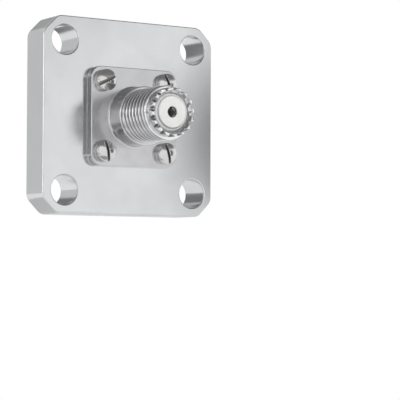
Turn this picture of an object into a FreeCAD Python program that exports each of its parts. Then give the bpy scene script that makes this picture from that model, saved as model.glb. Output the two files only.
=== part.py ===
import FreeCAD, Part
import enum
import os
import Sketcher

# Panel connector: a thick square mounting plate that carries a small threaded coaxial jack.
# Frame: +Z up, the jack looks along -Y, origin in the middle of the plate's rear face.

# Driving sizes, in millimetres and degrees
SIZES = [
    # Mounting plate
    ("plate_side", 34.6, "square side of the plate"),
    ("plate_thickness", 6.35, "front face to rear face"),
    ("plate_corner_cut", 2.8, "leg of the 45 degree cut at each corner"),
    ("plate_vertex_radius", 2.0, "rounding where a corner cut meets a side"),
    ("plate_edge_break", 0.25, "small bevel round both faces"),
    ("corner_hole_inset", 4.2, "plate's side to a hole's centre, both ways"),
    ("corner_hole_diameter", 5.2, "plain through hole"),
    ("corner_hole_break", 0.2, "bevel at each hole's front rim"),
    # Rear pilot, turned on the plate
    ("pilot_diameter", 16.0, "register that enters the instrument"),
    ("pilot_length", 4.0, "how far the pilot stands behind the plate"),
    ("pilot_lead", 0.4, "lead-in bevel on the pilot's end"),
    ("front_bore_diameter", 5.6, "bore behind the jack"),
    ("rear_bore_diameter", 10.0, "counterbore for the rear bead"),
    ("rear_bore_depth", 6.0, "from the pilot's end to the step"),
    # Jack flange and its screws
    ("flange_side", 17.45, "square side of the jack's flange"),
    ("flange_thickness", 1.6, "thickness of the jack's flange"),
    ("flange_corner_radius", 2.0, "rounding of the flange's corners"),
    ("flange_edge_break", 0.12, "small bevel round the flange's face"),
    ("screw_spacing", 12.4, "centre to centre, both ways"),
    ("screw_shank_diameter", 2.18, "shank of the flange screws"),
    ("screw_shank_length", 5.2, "under the head to the end"),
    ("screw_hole_clearance", 0.11, "flange hole round the shank, on the radius"),
    ("tapped_hole_clearance", 0.02, "plate hole round the shank, on the radius"),
    ("tapped_hole_reserve", 0.7, "full depth left below the screw's end"),
    ("tapped_hole_point", 118.0, "drill point angle"),
    ("screw_head_diameter", 3.8, "head of the flange screws"),
    ("screw_head_side", 1.1, "straight side of the head"),
    ("screw_head_dome", 0.45, "rise of the head's dome"),
    ("slot_width", 0.45, "driver slot"),
    ("slot_depth", 0.7, "from the top of the dome"),
    ("slot_turn_top_left", 28.0, "slot angle from +X, seen from the front"),
    ("slot_turn_top_right", 112.0, "slot angle from +X, seen from the front"),
    ("slot_turn_bottom_left", 101.0, "slot angle from +X, seen from the front"),
    ("slot_turn_bottom_right", 106.0, "slot angle from +X, seen from the front"),
    # Jack barrel
    ("collar_diameter", 10.4, "plain collar behind the thread"),
    ("collar_length", 3.8, "in front of the flange's face"),
    ("collar_break", 0.2, "bevel at the collar's front"),
    ("thread_diameter", 9.525, "major diameter, 3/8 inch"),
    ("thread_length", 7.4, "collar to the rim"),
    ("thread_lead", 0.3, "bevel at the rim"),
    # Toothed nose
    ("nose_diameter", 8.5, "outside of the toothed nose"),
    ("nose_length", 1.85, "rim to the tips of the teeth"),
    ("crown_inner_diameter", 7.6, "inside of the teeth"),
    ("crown_wall_depth", 0.2, "straight wall inside the tips"),
    ("bevel_depth", 0.6, "inner bevel, measured along the axis"),
    ("tooth_count", 16, "teeth round the nose"),
    ("tooth_land", 0.4, "width of a tip on the outside"),
    ("notch_root", 0.3, "width at the bottom of a notch"),
    ("notch_depth", 1.2, "depth of a notch on the outside"),
    ("notch_slope", 56.3, "fall of a notch's bottom towards the outside, in degrees"),
    ("notch_turn", 5.0, "how far the first notch lies from the top, clockwise"),
    # Front bead and its cavity
    ("bead_diameter", 6.4, "white bead in the nose"),
    ("bead_face_diameter", 5.4, "raised face in the bead's middle"),
    ("bead_face_rise", 0.4, "height of the raised face"),
    ("bead_clearance", 0.02, "bore round the bead, on the radius"),
    ("bead_drop", 0.4, "bead's face behind the tips"),
    ("bead_edge_break", 0.12, "bevel at the raised face"),
    ("bead_shoulder_diameter", 7.4, "shoulder that the plate traps"),
    ("bead_shoulder_length", 1.0, "length of the shoulder"),
    ("entry_diameter", 1.9, "entry hole in the bead's face"),
    ("entry_length", 0.5, "lip in front of the socket"),
    # Socket contact
    ("socket_diameter", 2.3, "outside of the socket"),
    ("socket_clearance", 0.05, "bead's cavity round the socket, on the radius"),
    ("socket_length", 10.5, "lip to the end of the thick part"),
    ("socket_bore_diameter", 1.3, "bore that grips the mating pin"),
    ("socket_bore_depth", 5.5, "depth of that bore"),
    ("socket_mouth_bevel", 0.15, "bevel at the mouth"),
    ("socket_slot_width", 0.3, "slot between two fingers"),
    ("socket_slot_length", 4.2, "length of the slots"),
    ("tail_diameter", 1.6, "tail that enters the rear contact"),
    # Rear bead and rear contact
    ("rear_bead_length", 3.0, "thickness of the rear bead"),
    ("rear_bead_clearance", 0.02, "counterbore round the bead, on the radius"),
    ("pin_seat_diameter", 3.6, "rear contact in its bead and round the tail"),
    ("pin_seat_clearance", 0.02, "bead's hole round the seat, on the radius"),
    ("rear_pin_diameter", 3.0, "rear contact behind its bead"),
    ("rear_pin_reach", 5.0, "how far the pin stands behind the pilot"),
    ("rear_pin_tip_bevel", 0.5, "bevel at the pin's end"),
    ("rear_pin_slot_width", 0.3, "slot between two fingers"),
    ("rear_pin_slot_length", 3.5, "length of the slots"),
    ("rear_pin_turn", 45.0, "how far the slots are turned from upright"),
    ("stop_diameter", 4.6, "stop collar in front of the bead"),
    ("stop_length", 0.8, "length of the stop collar"),
    ("cup_length", 2.0, "from the stop collar to the cup's mouth"),
    ("cup_depth", 2.5, "depth of the cup's hole"),
    ("cup_clearance", 0.05, "cup's hole round the tail, on the radius"),
    ("cup_end_gap", 0.1, "left between the tail's end and the cup's bottom"),
    # How far a cutting outline runs past the metal
    ("cut_margin", 1.0, "overrun of cutting outlines"),
]

# Places along the jack, measured forward from the plate's front face
COLLAR_FRONT = "(Sizes.flange_thickness + Sizes.collar_length)"
RIM = f"({COLLAR_FRONT} + Sizes.thread_length)"
TIP = f"({RIM} + Sizes.nose_length)"
BEAD_FACE = f"({TIP} - Sizes.bead_drop)"
SOCKET_FRONT = f"({BEAD_FACE} - Sizes.entry_length)"

# Radii that two pieces share
BEAD_BORE = "(Sizes.bead_diameter / 2 + Sizes.bead_clearance)"
SHOULDER_BORE = "(Sizes.bead_shoulder_diameter / 2 + Sizes.bead_clearance)"

# Spacing of the corner holes, centre to centre
CORNER_SPACING = "(Sizes.plate_side - 2 * Sizes.corner_hole_inset)"

# Places along Y in the plate's frame
BORE_STEP = "(Sizes.pilot_length - Sizes.rear_bore_depth)"
CUP_MOUTH = f"({BORE_STEP} - Sizes.stop_length - Sizes.cup_length)"
REAR_BEAD_END = f"({BORE_STEP} + Sizes.rear_bead_length)"
PIN_END = "(Sizes.pilot_length + Sizes.rear_pin_reach)"

TOLERANCE = 1e-4


class Frame(enum.IntEnum):
    """Numbers that the sketcher gives to its own origin and axes."""

    ORIGIN = -1
    HORIZONTAL_AXIS = -1
    VERTICAL_AXIS = -2


class At(enum.IntEnum):
    """Numbers that the sketcher gives to the points of a line, an arc or a circle."""

    START = 1
    END = 2
    CENTRE = 3


doc = FreeCAD.newDocument("panel_connector")
sheet = doc.addObject("Spreadsheet::Sheet", "Sizes")


# Sheet

def fill_sheet():
    """Writes each size to its own row: name, value, what it is."""
    for row, (name, value, meaning) in enumerate(SIZES, start=1):
        sheet.set(f"A{row}", name)
        sheet.set(f"B{row}", str(value))
        sheet.set(f"C{row}", meaning)
        sheet.setAlias(f"B{row}", name)
    doc.recompute()


def value_of(expression):
    """The number that an expression of the sheet's sizes gives now."""
    return float(sheet.evalExpression(expression))


# Sketches

def add_body(name):
    """An empty body whose label names its piece."""
    body = doc.addObject("PartDesign::Body", name)
    body.Label = name
    return body


def origin_part(body, role):
    """The body's own origin plane or axis with this role."""
    for feature in body.Origin.OriginFeatures:
        if feature.Role == role:
            return feature
    raise ValueError(f"{body.Label} has no {role}")


def add_sketch(body, name, support, rise="0"):
    """A sketch on a plane of the body, lifted along the plane's normal."""
    sketch = body.newObject("Sketcher::SketchObject", name)
    sketch.AttachmentSupport = (support, [""])
    sketch.MapMode = "FlatFace"
    if rise != "0":
        sketch.setExpression("AttachmentOffset.Base.z", rise)
    return sketch


def place_point(sketch, geometry, point, across, along):
    """Ties a sketch point to two expressions, measured from the sketch's origin."""
    directions = (("DistanceX", across, Frame.VERTICAL_AXIS), ("DistanceY", along, Frame.HORIZONTAL_AXIS))
    for kind, expression, axis in directions:
        if expression == "0":
            sketch.addConstraint(Sketcher.Constraint("PointOnObject", geometry, point, axis))
            continue
        distance = value_of(expression)
        constraint = Sketcher.Constraint(kind, Frame.ORIGIN, At.START, geometry, point, distance)
        index = sketch.addConstraint(constraint)
        sketch.setExpression(f"Constraints[{index}]", expression)


def add_outline(sketch, corners):
    """A closed outline of straight sides, each corner given as (across, along)."""
    points = [FreeCAD.Vector(value_of(across), value_of(along), 0) for across, along in corners]
    count = len(points)
    for index in range(count):
        line = Part.LineSegment(points[index], points[(index + 1) % count])
        sketch.addGeometry(line, False)
    for index in range(count):
        following = (index + 1) % count
        sketch.addConstraint(Sketcher.Constraint("Coincident", index, At.END, following, At.START))
    for index, (across, along) in enumerate(corners):
        place_point(sketch, index, At.START, across, along)


def add_rectangle(sketch, across, along):
    """A rectangle round the sketch's origin, with its full width and height."""
    half_across = f"({across}) / 2"
    half_along = f"({along}) / 2"
    corners = [
        (f"-{half_across}", f"-{half_along}"),
        (half_across, f"-{half_along}"),
        (half_across, half_along),
        (f"-{half_across}", half_along),
    ]
    add_outline(sketch, corners)


def add_circle(sketch, diameter, across="0", along="0"):
    """One circle with its diameter and centre tied to the sheet."""
    centre = FreeCAD.Vector(value_of(across), value_of(along), 0)
    circle = Part.Circle(centre, FreeCAD.Vector(0, 0, 1), value_of(diameter) / 2)
    geometry = sketch.addGeometry(circle, False)
    index = sketch.addConstraint(Sketcher.Constraint("Diameter", geometry, value_of(diameter)))
    sketch.setExpression(f"Constraints[{index}]", diameter)
    place_point(sketch, geometry, At.CENTRE, across, along)


def add_square_of_circles(sketch, spacing, diameter):
    """Four circles on the corners of a square."""
    for across in (f"-{spacing} / 2", f"{spacing} / 2"):
        for along in (f"-{spacing} / 2", f"{spacing} / 2"):
            add_circle(sketch, diameter, across, along)


# Features

def pad(body, name, sketch, length, reverse=False):
    """Material from a sketch, along its normal or against it."""
    feature = body.newObject("PartDesign::Pad", name)
    feature.Profile = sketch
    feature.setExpression("Length", length)
    feature.Reversed = reverse
    doc.recompute()
    return feature


def pocket(body, name, sketch, length, reverse=False):
    """A cut from a sketch, against its normal or along it."""
    feature = body.newObject("PartDesign::Pocket", name)
    feature.Profile = sketch
    feature.setExpression("Length", length)
    feature.Reversed = reverse
    doc.recompute()
    return feature


def turn(body, kind, name, corners):
    """A turned form or a turned cut: corners are (radius, place along Y)."""
    sketch = add_sketch(body, name + "_outline", origin_part(body, "XY_Plane"))
    add_outline(sketch, corners)
    feature = body.newObject(kind, name)
    feature.Profile = sketch
    feature.ReferenceAxis = (sketch, ["V_Axis"])
    feature.Angle = 360
    doc.recompute()
    return feature


def drill(body, name, sketch, diameter, depth=None):
    """Round holes at a sketch's circles: right through, or blind with a drill point."""
    doc.recompute()
    feature = body.newObject("PartDesign::Hole", name)
    feature.Profile = sketch
    feature.Threaded = False
    feature.setExpression("Diameter", diameter)
    if depth is None:
        feature.DepthType = "ThroughAll"
    else:
        feature.DepthType = "Dimension"
        feature.setExpression("Depth", depth)
        feature.DrillPoint = "Angled"
        feature.setExpression("DrillPointAngle", "Sizes.tapped_hole_point")
    doc.recompute()
    return feature


def dress(body, kind, name, base, edges, amount, field):
    """A fillet or a chamfer on the named edges of a feature."""
    feature = body.newObject(kind, name)
    feature.Base = (base, edges)
    feature.setExpression(field, amount)
    doc.recompute()
    return feature


def ring_pattern(body, name, original, count):
    """Copies of a feature spread evenly round the Y axis."""
    feature = body.newObject("PartDesign::PolarPattern", name)
    feature.Originals = [original]
    feature.Axis = (origin_part(body, "Y_Axis"), [""])
    feature.Angle = 360
    if isinstance(count, str):
        feature.setExpression("Occurrences", count)
    else:
        feature.Occurrences = count
    body.Tip = feature
    doc.recompute()
    return feature


# Edges, found by where they lie

def edges_along_y(feature):
    """Names of the straight edges that run along Y."""
    names = []
    for number, edge in enumerate(feature.Shape.Edges, start=1):
        box = edge.BoundBox
        if box.XLength < TOLERANCE and box.ZLength < TOLERANCE:
            names.append(f"Edge{number}")
    return names


def edges_on_plane(feature, place, closed):
    """Names of the edges in the plane y = place: closed circles, or the open outline."""
    names = []
    for number, edge in enumerate(feature.Shape.Edges, start=1):
        box = edge.BoundBox
        flat = box.YLength < TOLERANCE and abs(box.YMin - place) < TOLERANCE
        if flat and edge.isClosed() == closed:
            names.append(f"Edge{number}")
    return names


def circles_of_radius(feature, place, radius):
    """Names of the full circles of one radius in the plane y = place."""
    names = []
    for name in edges_on_plane(feature, place, True):
        edge = feature.Shape.getElement(name)
        if abs(edge.Curve.Radius - radius) < TOLERANCE:
            names.append(name)
    return names


# Flange plate

def build_flange_plate():
    """The milled plate with its corner holes, tapped holes, pilot and stepped bore."""
    body = add_body("flange_plate")
    rear_plane = origin_part(body, "XZ_Plane")

    outline = add_sketch(body, "plate_outline", rear_plane)
    add_rectangle(outline, "Sizes.plate_side", "Sizes.plate_side")
    block = pad(body, "plate_block", outline, "Sizes.plate_thickness")
    cut_corners = dress(
        body, "PartDesign::Chamfer", "plate_corner_cuts", block,
        edges_along_y(block), "Sizes.plate_corner_cut", "Size",
    )
    rounded = dress(
        body, "PartDesign::Fillet", "plate_vertices", cut_corners,
        edges_along_y(cut_corners), "Sizes.plate_vertex_radius", "Radius",
    )

    front = -value_of("Sizes.plate_thickness")
    rims = [name for place in (0, front) for name in edges_on_plane(rounded, place, False)]
    dress(
        body, "PartDesign::Chamfer", "plate_edge_breaks", rounded,
        rims, "Sizes.plate_edge_break", "Size",
    )

    corner_centres = add_sketch(body, "corner_hole_centres", rear_plane, "Sizes.plate_thickness")
    add_square_of_circles(corner_centres, CORNER_SPACING, "Sizes.corner_hole_diameter")
    corner_holes = drill(body, "corner_holes", corner_centres, "Sizes.corner_hole_diameter")
    mouths = circles_of_radius(corner_holes, front, value_of("Sizes.corner_hole_diameter") / 2)
    dress(
        body, "PartDesign::Chamfer", "corner_hole_breaks", corner_holes,
        mouths, "Sizes.corner_hole_break", "Size",
    )

    pilot_outline = add_sketch(body, "pilot_outline", rear_plane)
    add_circle(pilot_outline, "Sizes.pilot_diameter")
    pilot = pad(body, "pilot", pilot_outline, "Sizes.pilot_length", reverse=True)
    pilot_end = value_of("Sizes.pilot_length")
    pilot_rim = circles_of_radius(pilot, pilot_end, value_of("Sizes.pilot_diameter") / 2)
    dress(
        body, "PartDesign::Chamfer", "pilot_lead_in", pilot,
        pilot_rim, "Sizes.pilot_lead", "Size",
    )

    bore_end = "Sizes.pilot_length + Sizes.cut_margin"
    bore_start = "-(Sizes.plate_thickness + Sizes.cut_margin)"
    bore_corners = [
        ("0", bore_start),
        ("Sizes.front_bore_diameter / 2", bore_start),
        ("Sizes.front_bore_diameter / 2", BORE_STEP),
        ("Sizes.rear_bore_diameter / 2", BORE_STEP),
        ("Sizes.rear_bore_diameter / 2", bore_end),
        ("0", bore_end),
    ]
    turn(body, "PartDesign::Groove", "stepped_bore", bore_corners)

    tapped_centres = add_sketch(body, "tapped_hole_centres", rear_plane, "Sizes.plate_thickness")
    tapped_diameter = "Sizes.screw_shank_diameter + 2 * Sizes.tapped_hole_clearance"
    add_square_of_circles(tapped_centres, "Sizes.screw_spacing", tapped_diameter)
    tapped_depth = "Sizes.screw_shank_length - Sizes.flange_thickness + Sizes.tapped_hole_reserve"
    drill(body, "tapped_holes", tapped_centres, tapped_diameter, tapped_depth)
    return body


# Jack

def seat_on_plate(body):
    """Moves a piece of the jack onto the plate's front face."""
    body.setExpression("Placement.Base.y", "-Sizes.plate_thickness")


def build_jack_body():
    """The turned jack: square flange, collar, threaded barrel and toothed nose."""
    body = add_body("jack_body")
    seat_plane = origin_part(body, "XZ_Plane")

    flange_outline = add_sketch(body, "flange_outline", seat_plane)
    add_rectangle(flange_outline, "Sizes.flange_side", "Sizes.flange_side")
    flange = pad(body, "flange", flange_outline, "Sizes.flange_thickness")
    rounded = dress(
        body, "PartDesign::Fillet", "flange_corners", flange,
        edges_along_y(flange), "Sizes.flange_corner_radius", "Radius",
    )
    front = -value_of("Sizes.flange_thickness")
    dress(
        body, "PartDesign::Chamfer", "flange_edge_break", rounded,
        edges_on_plane(rounded, front, False), "Sizes.flange_edge_break", "Size",
    )

    barrel_corners = [
        ("0", "0"),
        ("Sizes.collar_diameter / 2", "0"),
        ("Sizes.collar_diameter / 2", f"-({COLLAR_FRONT} - Sizes.collar_break)"),
        ("Sizes.collar_diameter / 2 - Sizes.collar_break", f"-{COLLAR_FRONT}"),
        ("Sizes.thread_diameter / 2", f"-{COLLAR_FRONT}"),
        ("Sizes.thread_diameter / 2", f"-({RIM} - Sizes.thread_lead)"),
        ("Sizes.thread_diameter / 2 - Sizes.thread_lead", f"-{RIM}"),
        ("Sizes.nose_diameter / 2", f"-{RIM}"),
        ("Sizes.nose_diameter / 2", f"-{TIP}"),
        ("0", f"-{TIP}"),
    ]
    turn(body, "PartDesign::Revolution", "barrel", barrel_corners)

    wall_end = f"({TIP} - Sizes.crown_wall_depth)"
    bevel_end = f"({wall_end} - Sizes.bevel_depth)"
    bore_corners = [
        ("0", "Sizes.cut_margin"),
        (SHOULDER_BORE, "Sizes.cut_margin"),
        (SHOULDER_BORE, "-Sizes.bead_shoulder_length"),
        (BEAD_BORE, "-Sizes.bead_shoulder_length"),
        (BEAD_BORE, f"-{bevel_end}"),
        ("Sizes.crown_inner_diameter / 2", f"-{wall_end}"),
        ("Sizes.crown_inner_diameter / 2", f"-({TIP} + Sizes.cut_margin)"),
        ("0", f"-({TIP} + Sizes.cut_margin)"),
    ]
    turn(body, "PartDesign::Groove", "bore_and_bevel", bore_corners)

    screw_centres = add_sketch(body, "screw_hole_centres", seat_plane, "Sizes.flange_thickness")
    clearance_diameter = "Sizes.screw_shank_diameter + 2 * Sizes.screw_hole_clearance"
    add_square_of_circles(screw_centres, "Sizes.screw_spacing", clearance_diameter)
    drill(body, "screw_holes", screw_centres, clearance_diameter)

    cut_nose_teeth(body)
    seat_on_plate(body)
    return body


def cut_nose_teeth(body):
    """V notches whose bottoms fall towards the outside, spread round the nose."""
    pitch = "(pi * Sizes.nose_diameter / Sizes.tooth_count)"
    opening = f"({pitch} - Sizes.tooth_land)"
    # Where the sloping bottom of the notch meets the plane of the tips
    start_radius = "(Sizes.nose_diameter / 2 - Sizes.notch_depth / tan(Sizes.notch_slope))"
    # Height of the tip's outer corner over that bottom
    rise = "(Sizes.notch_depth * cos(Sizes.notch_slope))"
    # The outline runs on past the tips at the same angle
    widening = f"(({opening} - Sizes.notch_root) / 2 * (1 + Sizes.cut_margin / {rise}))"

    plane = body.newObject("PartDesign::Plane", "notch_plane")
    plane.AttachmentSupport = (origin_part(body, "XY_Plane"), [""])
    plane.MapMode = "FlatFace"
    plane.AttachmentOffset = FreeCAD.Placement(FreeCAD.Vector(), FreeCAD.Rotation(FreeCAD.Vector(0, 1, 0), 1))
    plane.setExpression("AttachmentOffset.Rotation.Angle", "Sizes.notch_turn")

    sketch = add_sketch(body, "notch_outline", plane)
    sketch.AttachmentOffset = FreeCAD.Placement(FreeCAD.Vector(), FreeCAD.Rotation(FreeCAD.Vector(-1, 0, 0), 1))
    sketch.setExpression("AttachmentOffset.Rotation.Angle", "Sizes.notch_slope")
    sketch.setExpression("AttachmentOffset.Base.y", f"-{TIP}")
    sketch.setExpression("AttachmentOffset.Base.z", start_radius)
    top = f"-({rise} + Sizes.cut_margin)"
    notch_corners = [
        ("-Sizes.notch_root / 2", "0"),
        (f"-(Sizes.notch_root / 2 + {widening})", top),
        (f"Sizes.notch_root / 2 + {widening}", top),
        ("Sizes.notch_root / 2", "0"),
    ]
    add_outline(sketch, notch_corners)
    reach = "Sizes.notch_depth / sin(Sizes.notch_slope) + Sizes.cut_margin"
    notch = pocket(body, "notch", sketch, reach, reverse=True)
    ring_pattern(body, "nose_teeth", notch, "Sizes.tooth_count")


def build_jack_insulator():
    """The bead: its face shows in the nose, its shoulder is trapped against the plate."""
    body = add_body("jack_insulator")
    bead_radius = "Sizes.bead_diameter / 2"
    face_radius = "Sizes.bead_face_diameter / 2"
    ring_face = f"({BEAD_FACE} - Sizes.bead_face_rise)"
    cavity_radius = "(Sizes.socket_diameter / 2 + Sizes.socket_clearance)"
    corners = [
        ("Sizes.entry_diameter / 2", f"-{BEAD_FACE}"),
        (f"{face_radius} - Sizes.bead_edge_break", f"-{BEAD_FACE}"),
        (face_radius, f"-({BEAD_FACE} - Sizes.bead_edge_break)"),
        (face_radius, f"-{ring_face}"),
        (bead_radius, f"-{ring_face}"),
        (bead_radius, "-Sizes.bead_shoulder_length"),
        ("Sizes.bead_shoulder_diameter / 2", "-Sizes.bead_shoulder_length"),
        ("Sizes.bead_shoulder_diameter / 2", "0"),
        (cavity_radius, "0"),
        (cavity_radius, f"-{SOCKET_FRONT}"),
        ("Sizes.entry_diameter / 2", f"-{SOCKET_FRONT}"),
    ]
    turn(body, "PartDesign::Revolution", "bead", corners)
    seat_on_plate(body)
    return body


def cross_slots(body, name, width, length, across, end, rise_sign):
    """Two slots at right angles that part a tube's end into four fingers."""
    sketch = add_sketch(body, name + "_outline", origin_part(body, "XZ_Plane"), end)
    add_rectangle(sketch, width, across)
    slot = pocket(body, name, sketch, length, reverse=rise_sign < 0)
    quarter = body.newObject("PartDesign::PolarPattern", name + "_pair")
    quarter.Originals = [slot]
    quarter.Axis = (origin_part(body, "Y_Axis"), [""])
    quarter.Angle = 90
    quarter.Occurrences = 2
    body.Tip = quarter
    doc.recompute()
    return quarter


def build_contact_socket():
    """The slotted spring socket in the bead, with the tail that reaches the rear contact."""
    body = add_body("contact_socket")
    socket_radius = "Sizes.socket_diameter / 2"
    thick_end = f"({SOCKET_FRONT} - Sizes.socket_length)"
    tail_end = f"(Sizes.plate_thickness + {CUP_MOUTH} + Sizes.cup_depth - Sizes.cup_end_gap)"
    corners = [
        ("0", tail_end),
        ("Sizes.tail_diameter / 2", tail_end),
        ("Sizes.tail_diameter / 2", f"-{thick_end}"),
        (socket_radius, f"-{thick_end}"),
        (socket_radius, f"-{SOCKET_FRONT}"),
        ("0", f"-{SOCKET_FRONT}"),
    ]
    turn(body, "PartDesign::Revolution", "socket", corners)
    bore_radius = "Sizes.socket_bore_diameter / 2"
    bore_corners = [
        ("0", f"-({SOCKET_FRONT} - Sizes.socket_bore_depth)"),
        (bore_radius, f"-({SOCKET_FRONT} - Sizes.socket_bore_depth)"),
        (bore_radius, f"-({SOCKET_FRONT} - Sizes.socket_mouth_bevel)"),
        (f"{bore_radius} + Sizes.socket_mouth_bevel", f"-{SOCKET_FRONT}"),
        (f"{bore_radius} + Sizes.socket_mouth_bevel", f"-({SOCKET_FRONT} + Sizes.cut_margin)"),
        ("0", f"-({SOCKET_FRONT} + Sizes.cut_margin)"),
    ]
    turn(body, "PartDesign::Groove", "socket_bore", bore_corners)
    across = "Sizes.socket_diameter + Sizes.cut_margin"
    cross_slots(
        body, "socket_slot", "Sizes.socket_slot_width", "Sizes.socket_slot_length",
        across, SOCKET_FRONT, 1,
    )
    seat_on_plate(body)
    return body


# Rear of the plate

def build_rear_insulator():
    """The bead in the pilot's counterbore that centres the rear contact."""
    body = add_body("rear_insulator")
    hole_radius = "(Sizes.pin_seat_diameter / 2 + Sizes.pin_seat_clearance)"
    outer_radius = "(Sizes.rear_bore_diameter / 2 - Sizes.rear_bead_clearance)"
    corners = [
        (hole_radius, BORE_STEP),
        (outer_radius, BORE_STEP),
        (outer_radius, REAR_BEAD_END),
        (hole_radius, REAR_BEAD_END),
    ]
    turn(body, "PartDesign::Revolution", "rear_bead", corners)
    return body


def build_rear_contact():
    """The slotted pin behind the plate: its cup takes the socket's tail."""
    body = add_body("rear_contact")
    seat_radius = "Sizes.pin_seat_diameter / 2"
    pin_radius = "Sizes.rear_pin_diameter / 2"
    stop_front = f"({BORE_STEP} - Sizes.stop_length)"
    corners = [
        ("0", CUP_MOUTH),
        (seat_radius, CUP_MOUTH),
        (seat_radius, stop_front),
        ("Sizes.stop_diameter / 2", stop_front),
        ("Sizes.stop_diameter / 2", BORE_STEP),
        (seat_radius, BORE_STEP),
        (seat_radius, REAR_BEAD_END),
        (pin_radius, REAR_BEAD_END),
        (pin_radius, f"{PIN_END} - Sizes.rear_pin_tip_bevel"),
        (f"{pin_radius} - Sizes.rear_pin_tip_bevel", PIN_END),
        ("0", PIN_END),
    ]
    turn(body, "PartDesign::Revolution", "pin", corners)
    cup_radius = "(Sizes.tail_diameter / 2 + Sizes.cup_clearance)"
    cup_corners = [
        ("0", f"{CUP_MOUTH} - Sizes.cut_margin"),
        (cup_radius, f"{CUP_MOUTH} - Sizes.cut_margin"),
        (cup_radius, f"{CUP_MOUTH} + Sizes.cup_depth"),
        ("0", f"{CUP_MOUTH} + Sizes.cup_depth"),
    ]
    turn(body, "PartDesign::Groove", "cup", cup_corners)
    across = "Sizes.rear_pin_diameter + Sizes.cut_margin"
    cross_slots(
        body, "pin_slot", "Sizes.rear_pin_slot_width", "Sizes.rear_pin_slot_length",
        across, f"-{PIN_END}", -1,
    )
    body.Placement = FreeCAD.Placement(FreeCAD.Vector(), FreeCAD.Rotation(FreeCAD.Vector(0, 1, 0), 1))
    body.setExpression("Placement.Rotation.Angle", "Sizes.rear_pin_turn")
    return body


# Flange screws

def build_screw(corner, side, level):
    """One slotted screw with a domed head, seated on the jack's flange."""
    body = add_body("jack_screw_" + corner)
    head_radius = "Sizes.screw_head_diameter / 2"
    shank_radius = "Sizes.screw_shank_diameter / 2"
    outline = add_sketch(body, "screw_outline", origin_part(body, "XY_Plane"))
    add_screw_outline(outline, head_radius, shank_radius)
    screw = body.newObject("PartDesign::Revolution", "screw")
    screw.Profile = outline
    screw.ReferenceAxis = (outline, ["V_Axis"])
    screw.Angle = 360
    doc.recompute()
    head_top = "Sizes.screw_head_side + Sizes.screw_head_dome"
    slot_outline = add_sketch(body, "slot_outline", origin_part(body, "XZ_Plane"), head_top)
    add_rectangle(slot_outline, "Sizes.screw_head_diameter + Sizes.cut_margin", "Sizes.slot_width")
    pocket(body, "driver_slot", slot_outline, "Sizes.slot_depth")

    body.Placement = FreeCAD.Placement(FreeCAD.Vector(), FreeCAD.Rotation(FreeCAD.Vector(0, -1, 0), 1))
    body.setExpression("Placement.Base.x", f"{side} * Sizes.screw_spacing / 2")
    body.setExpression("Placement.Base.y", "-(Sizes.plate_thickness + Sizes.flange_thickness)")
    body.setExpression("Placement.Base.z", f"{level} * Sizes.screw_spacing / 2")
    body.setExpression("Placement.Rotation.Angle", f"Sizes.slot_turn_{corner}")
    return body


def add_screw_outline(sketch, head_radius, shank_radius):
    """Half section of a screw: straight sides, then the dome's arc back to the axis."""
    corners = [
        ("0", "Sizes.screw_shank_length"),
        (shank_radius, "Sizes.screw_shank_length"),
        (shank_radius, "0"),
        (head_radius, "0"),
        (head_radius, "-Sizes.screw_head_side"),
        ("0", "-(Sizes.screw_head_side + Sizes.screw_head_dome)"),
    ]
    points = [FreeCAD.Vector(value_of(across), value_of(along), 0) for across, along in corners]
    first, *bends, edge, top = points
    sides = []
    for begin, finish in zip([first, *bends], [*bends, edge]):
        sides.append(sketch.addGeometry(Part.LineSegment(begin, finish), False))
    rise = value_of("Sizes.screw_head_dome")
    reach = value_of(head_radius)
    dome_radius = (reach * reach + rise * rise) / (2 * rise)
    centre = top + FreeCAD.Vector(0, dome_radius, 0)
    halfway = (edge + top) / 2 - centre
    middle = centre + halfway.normalize() * dome_radius
    dome = sketch.addGeometry(Part.Arc(top, middle, edge), False)
    axis_line = sketch.addGeometry(Part.LineSegment(top, first), False)

    # An arc runs anticlockwise, so its ends are told apart by their place
    ends = {point: sketch.getPoint(dome, point) for point in (At.START, At.END)}
    at_top = min(ends, key=lambda point: abs(ends[point].x))
    at_edge = max(ends, key=lambda point: abs(ends[point].x))
    joints = [(side, At.END, following, At.START) for side, following in zip(sides, sides[1:])]
    joints.append((sides[-1], At.END, dome, at_edge))
    joints.append((dome, at_top, axis_line, At.START))
    joints.append((axis_line, At.END, sides[0], At.START))
    for joint in joints:
        sketch.addConstraint(Sketcher.Constraint("Coincident", *joint))
    spots = [(side, At.START) for side in sides] + [(dome, at_edge), (dome, at_top)]
    for (geometry, point), (across, along) in zip(spots, corners):
        place_point(sketch, geometry, point, across, along)
    sketch.addConstraint(Sketcher.Constraint("PointOnObject", dome, At.CENTRE, Frame.VERTICAL_AXIS))


def build_jack_screws():
    """Four alike screws at the corners of the jack's flange, each left at its own turn."""
    places = [
        ("top_left", -1, 1),
        ("top_right", 1, 1),
        ("bottom_left", -1, -1),
        ("bottom_right", 1, -1),
    ]
    screws = [build_screw(corner, side, level) for corner, side, level in places]
    group = doc.addObject("Part::Compound", "jack_screws")
    group.Label = "jack_screws"
    group.Links = screws
    doc.recompute()
    return group


# Last looks before the files are written

def check_features():
    """Stops on a failed feature, and on a cut that took nothing away."""
    cuts = ("PartDesign::Pocket", "PartDesign::Groove", "PartDesign::Hole", "PartDesign::Chamfer")
    for feature in doc.Objects:
        if "Invalid" in feature.State or "Error" in feature.State:
            raise RuntimeError(f"{feature.Label} failed: {feature.State}")
        if feature.TypeId in cuts:
            before = feature.BaseFeature.Shape.Volume
            if feature.Shape.Volume >= before - TOLERANCE:
                raise RuntimeError(f"{feature.Label} cuts nothing")
        if feature.TypeId == "PartDesign::PolarPattern":
            if feature.Shape.Volume >= feature.Originals[0].Shape.Volume - TOLERANCE:
                raise RuntimeError(f"{feature.Label} repeats nothing")


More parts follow.
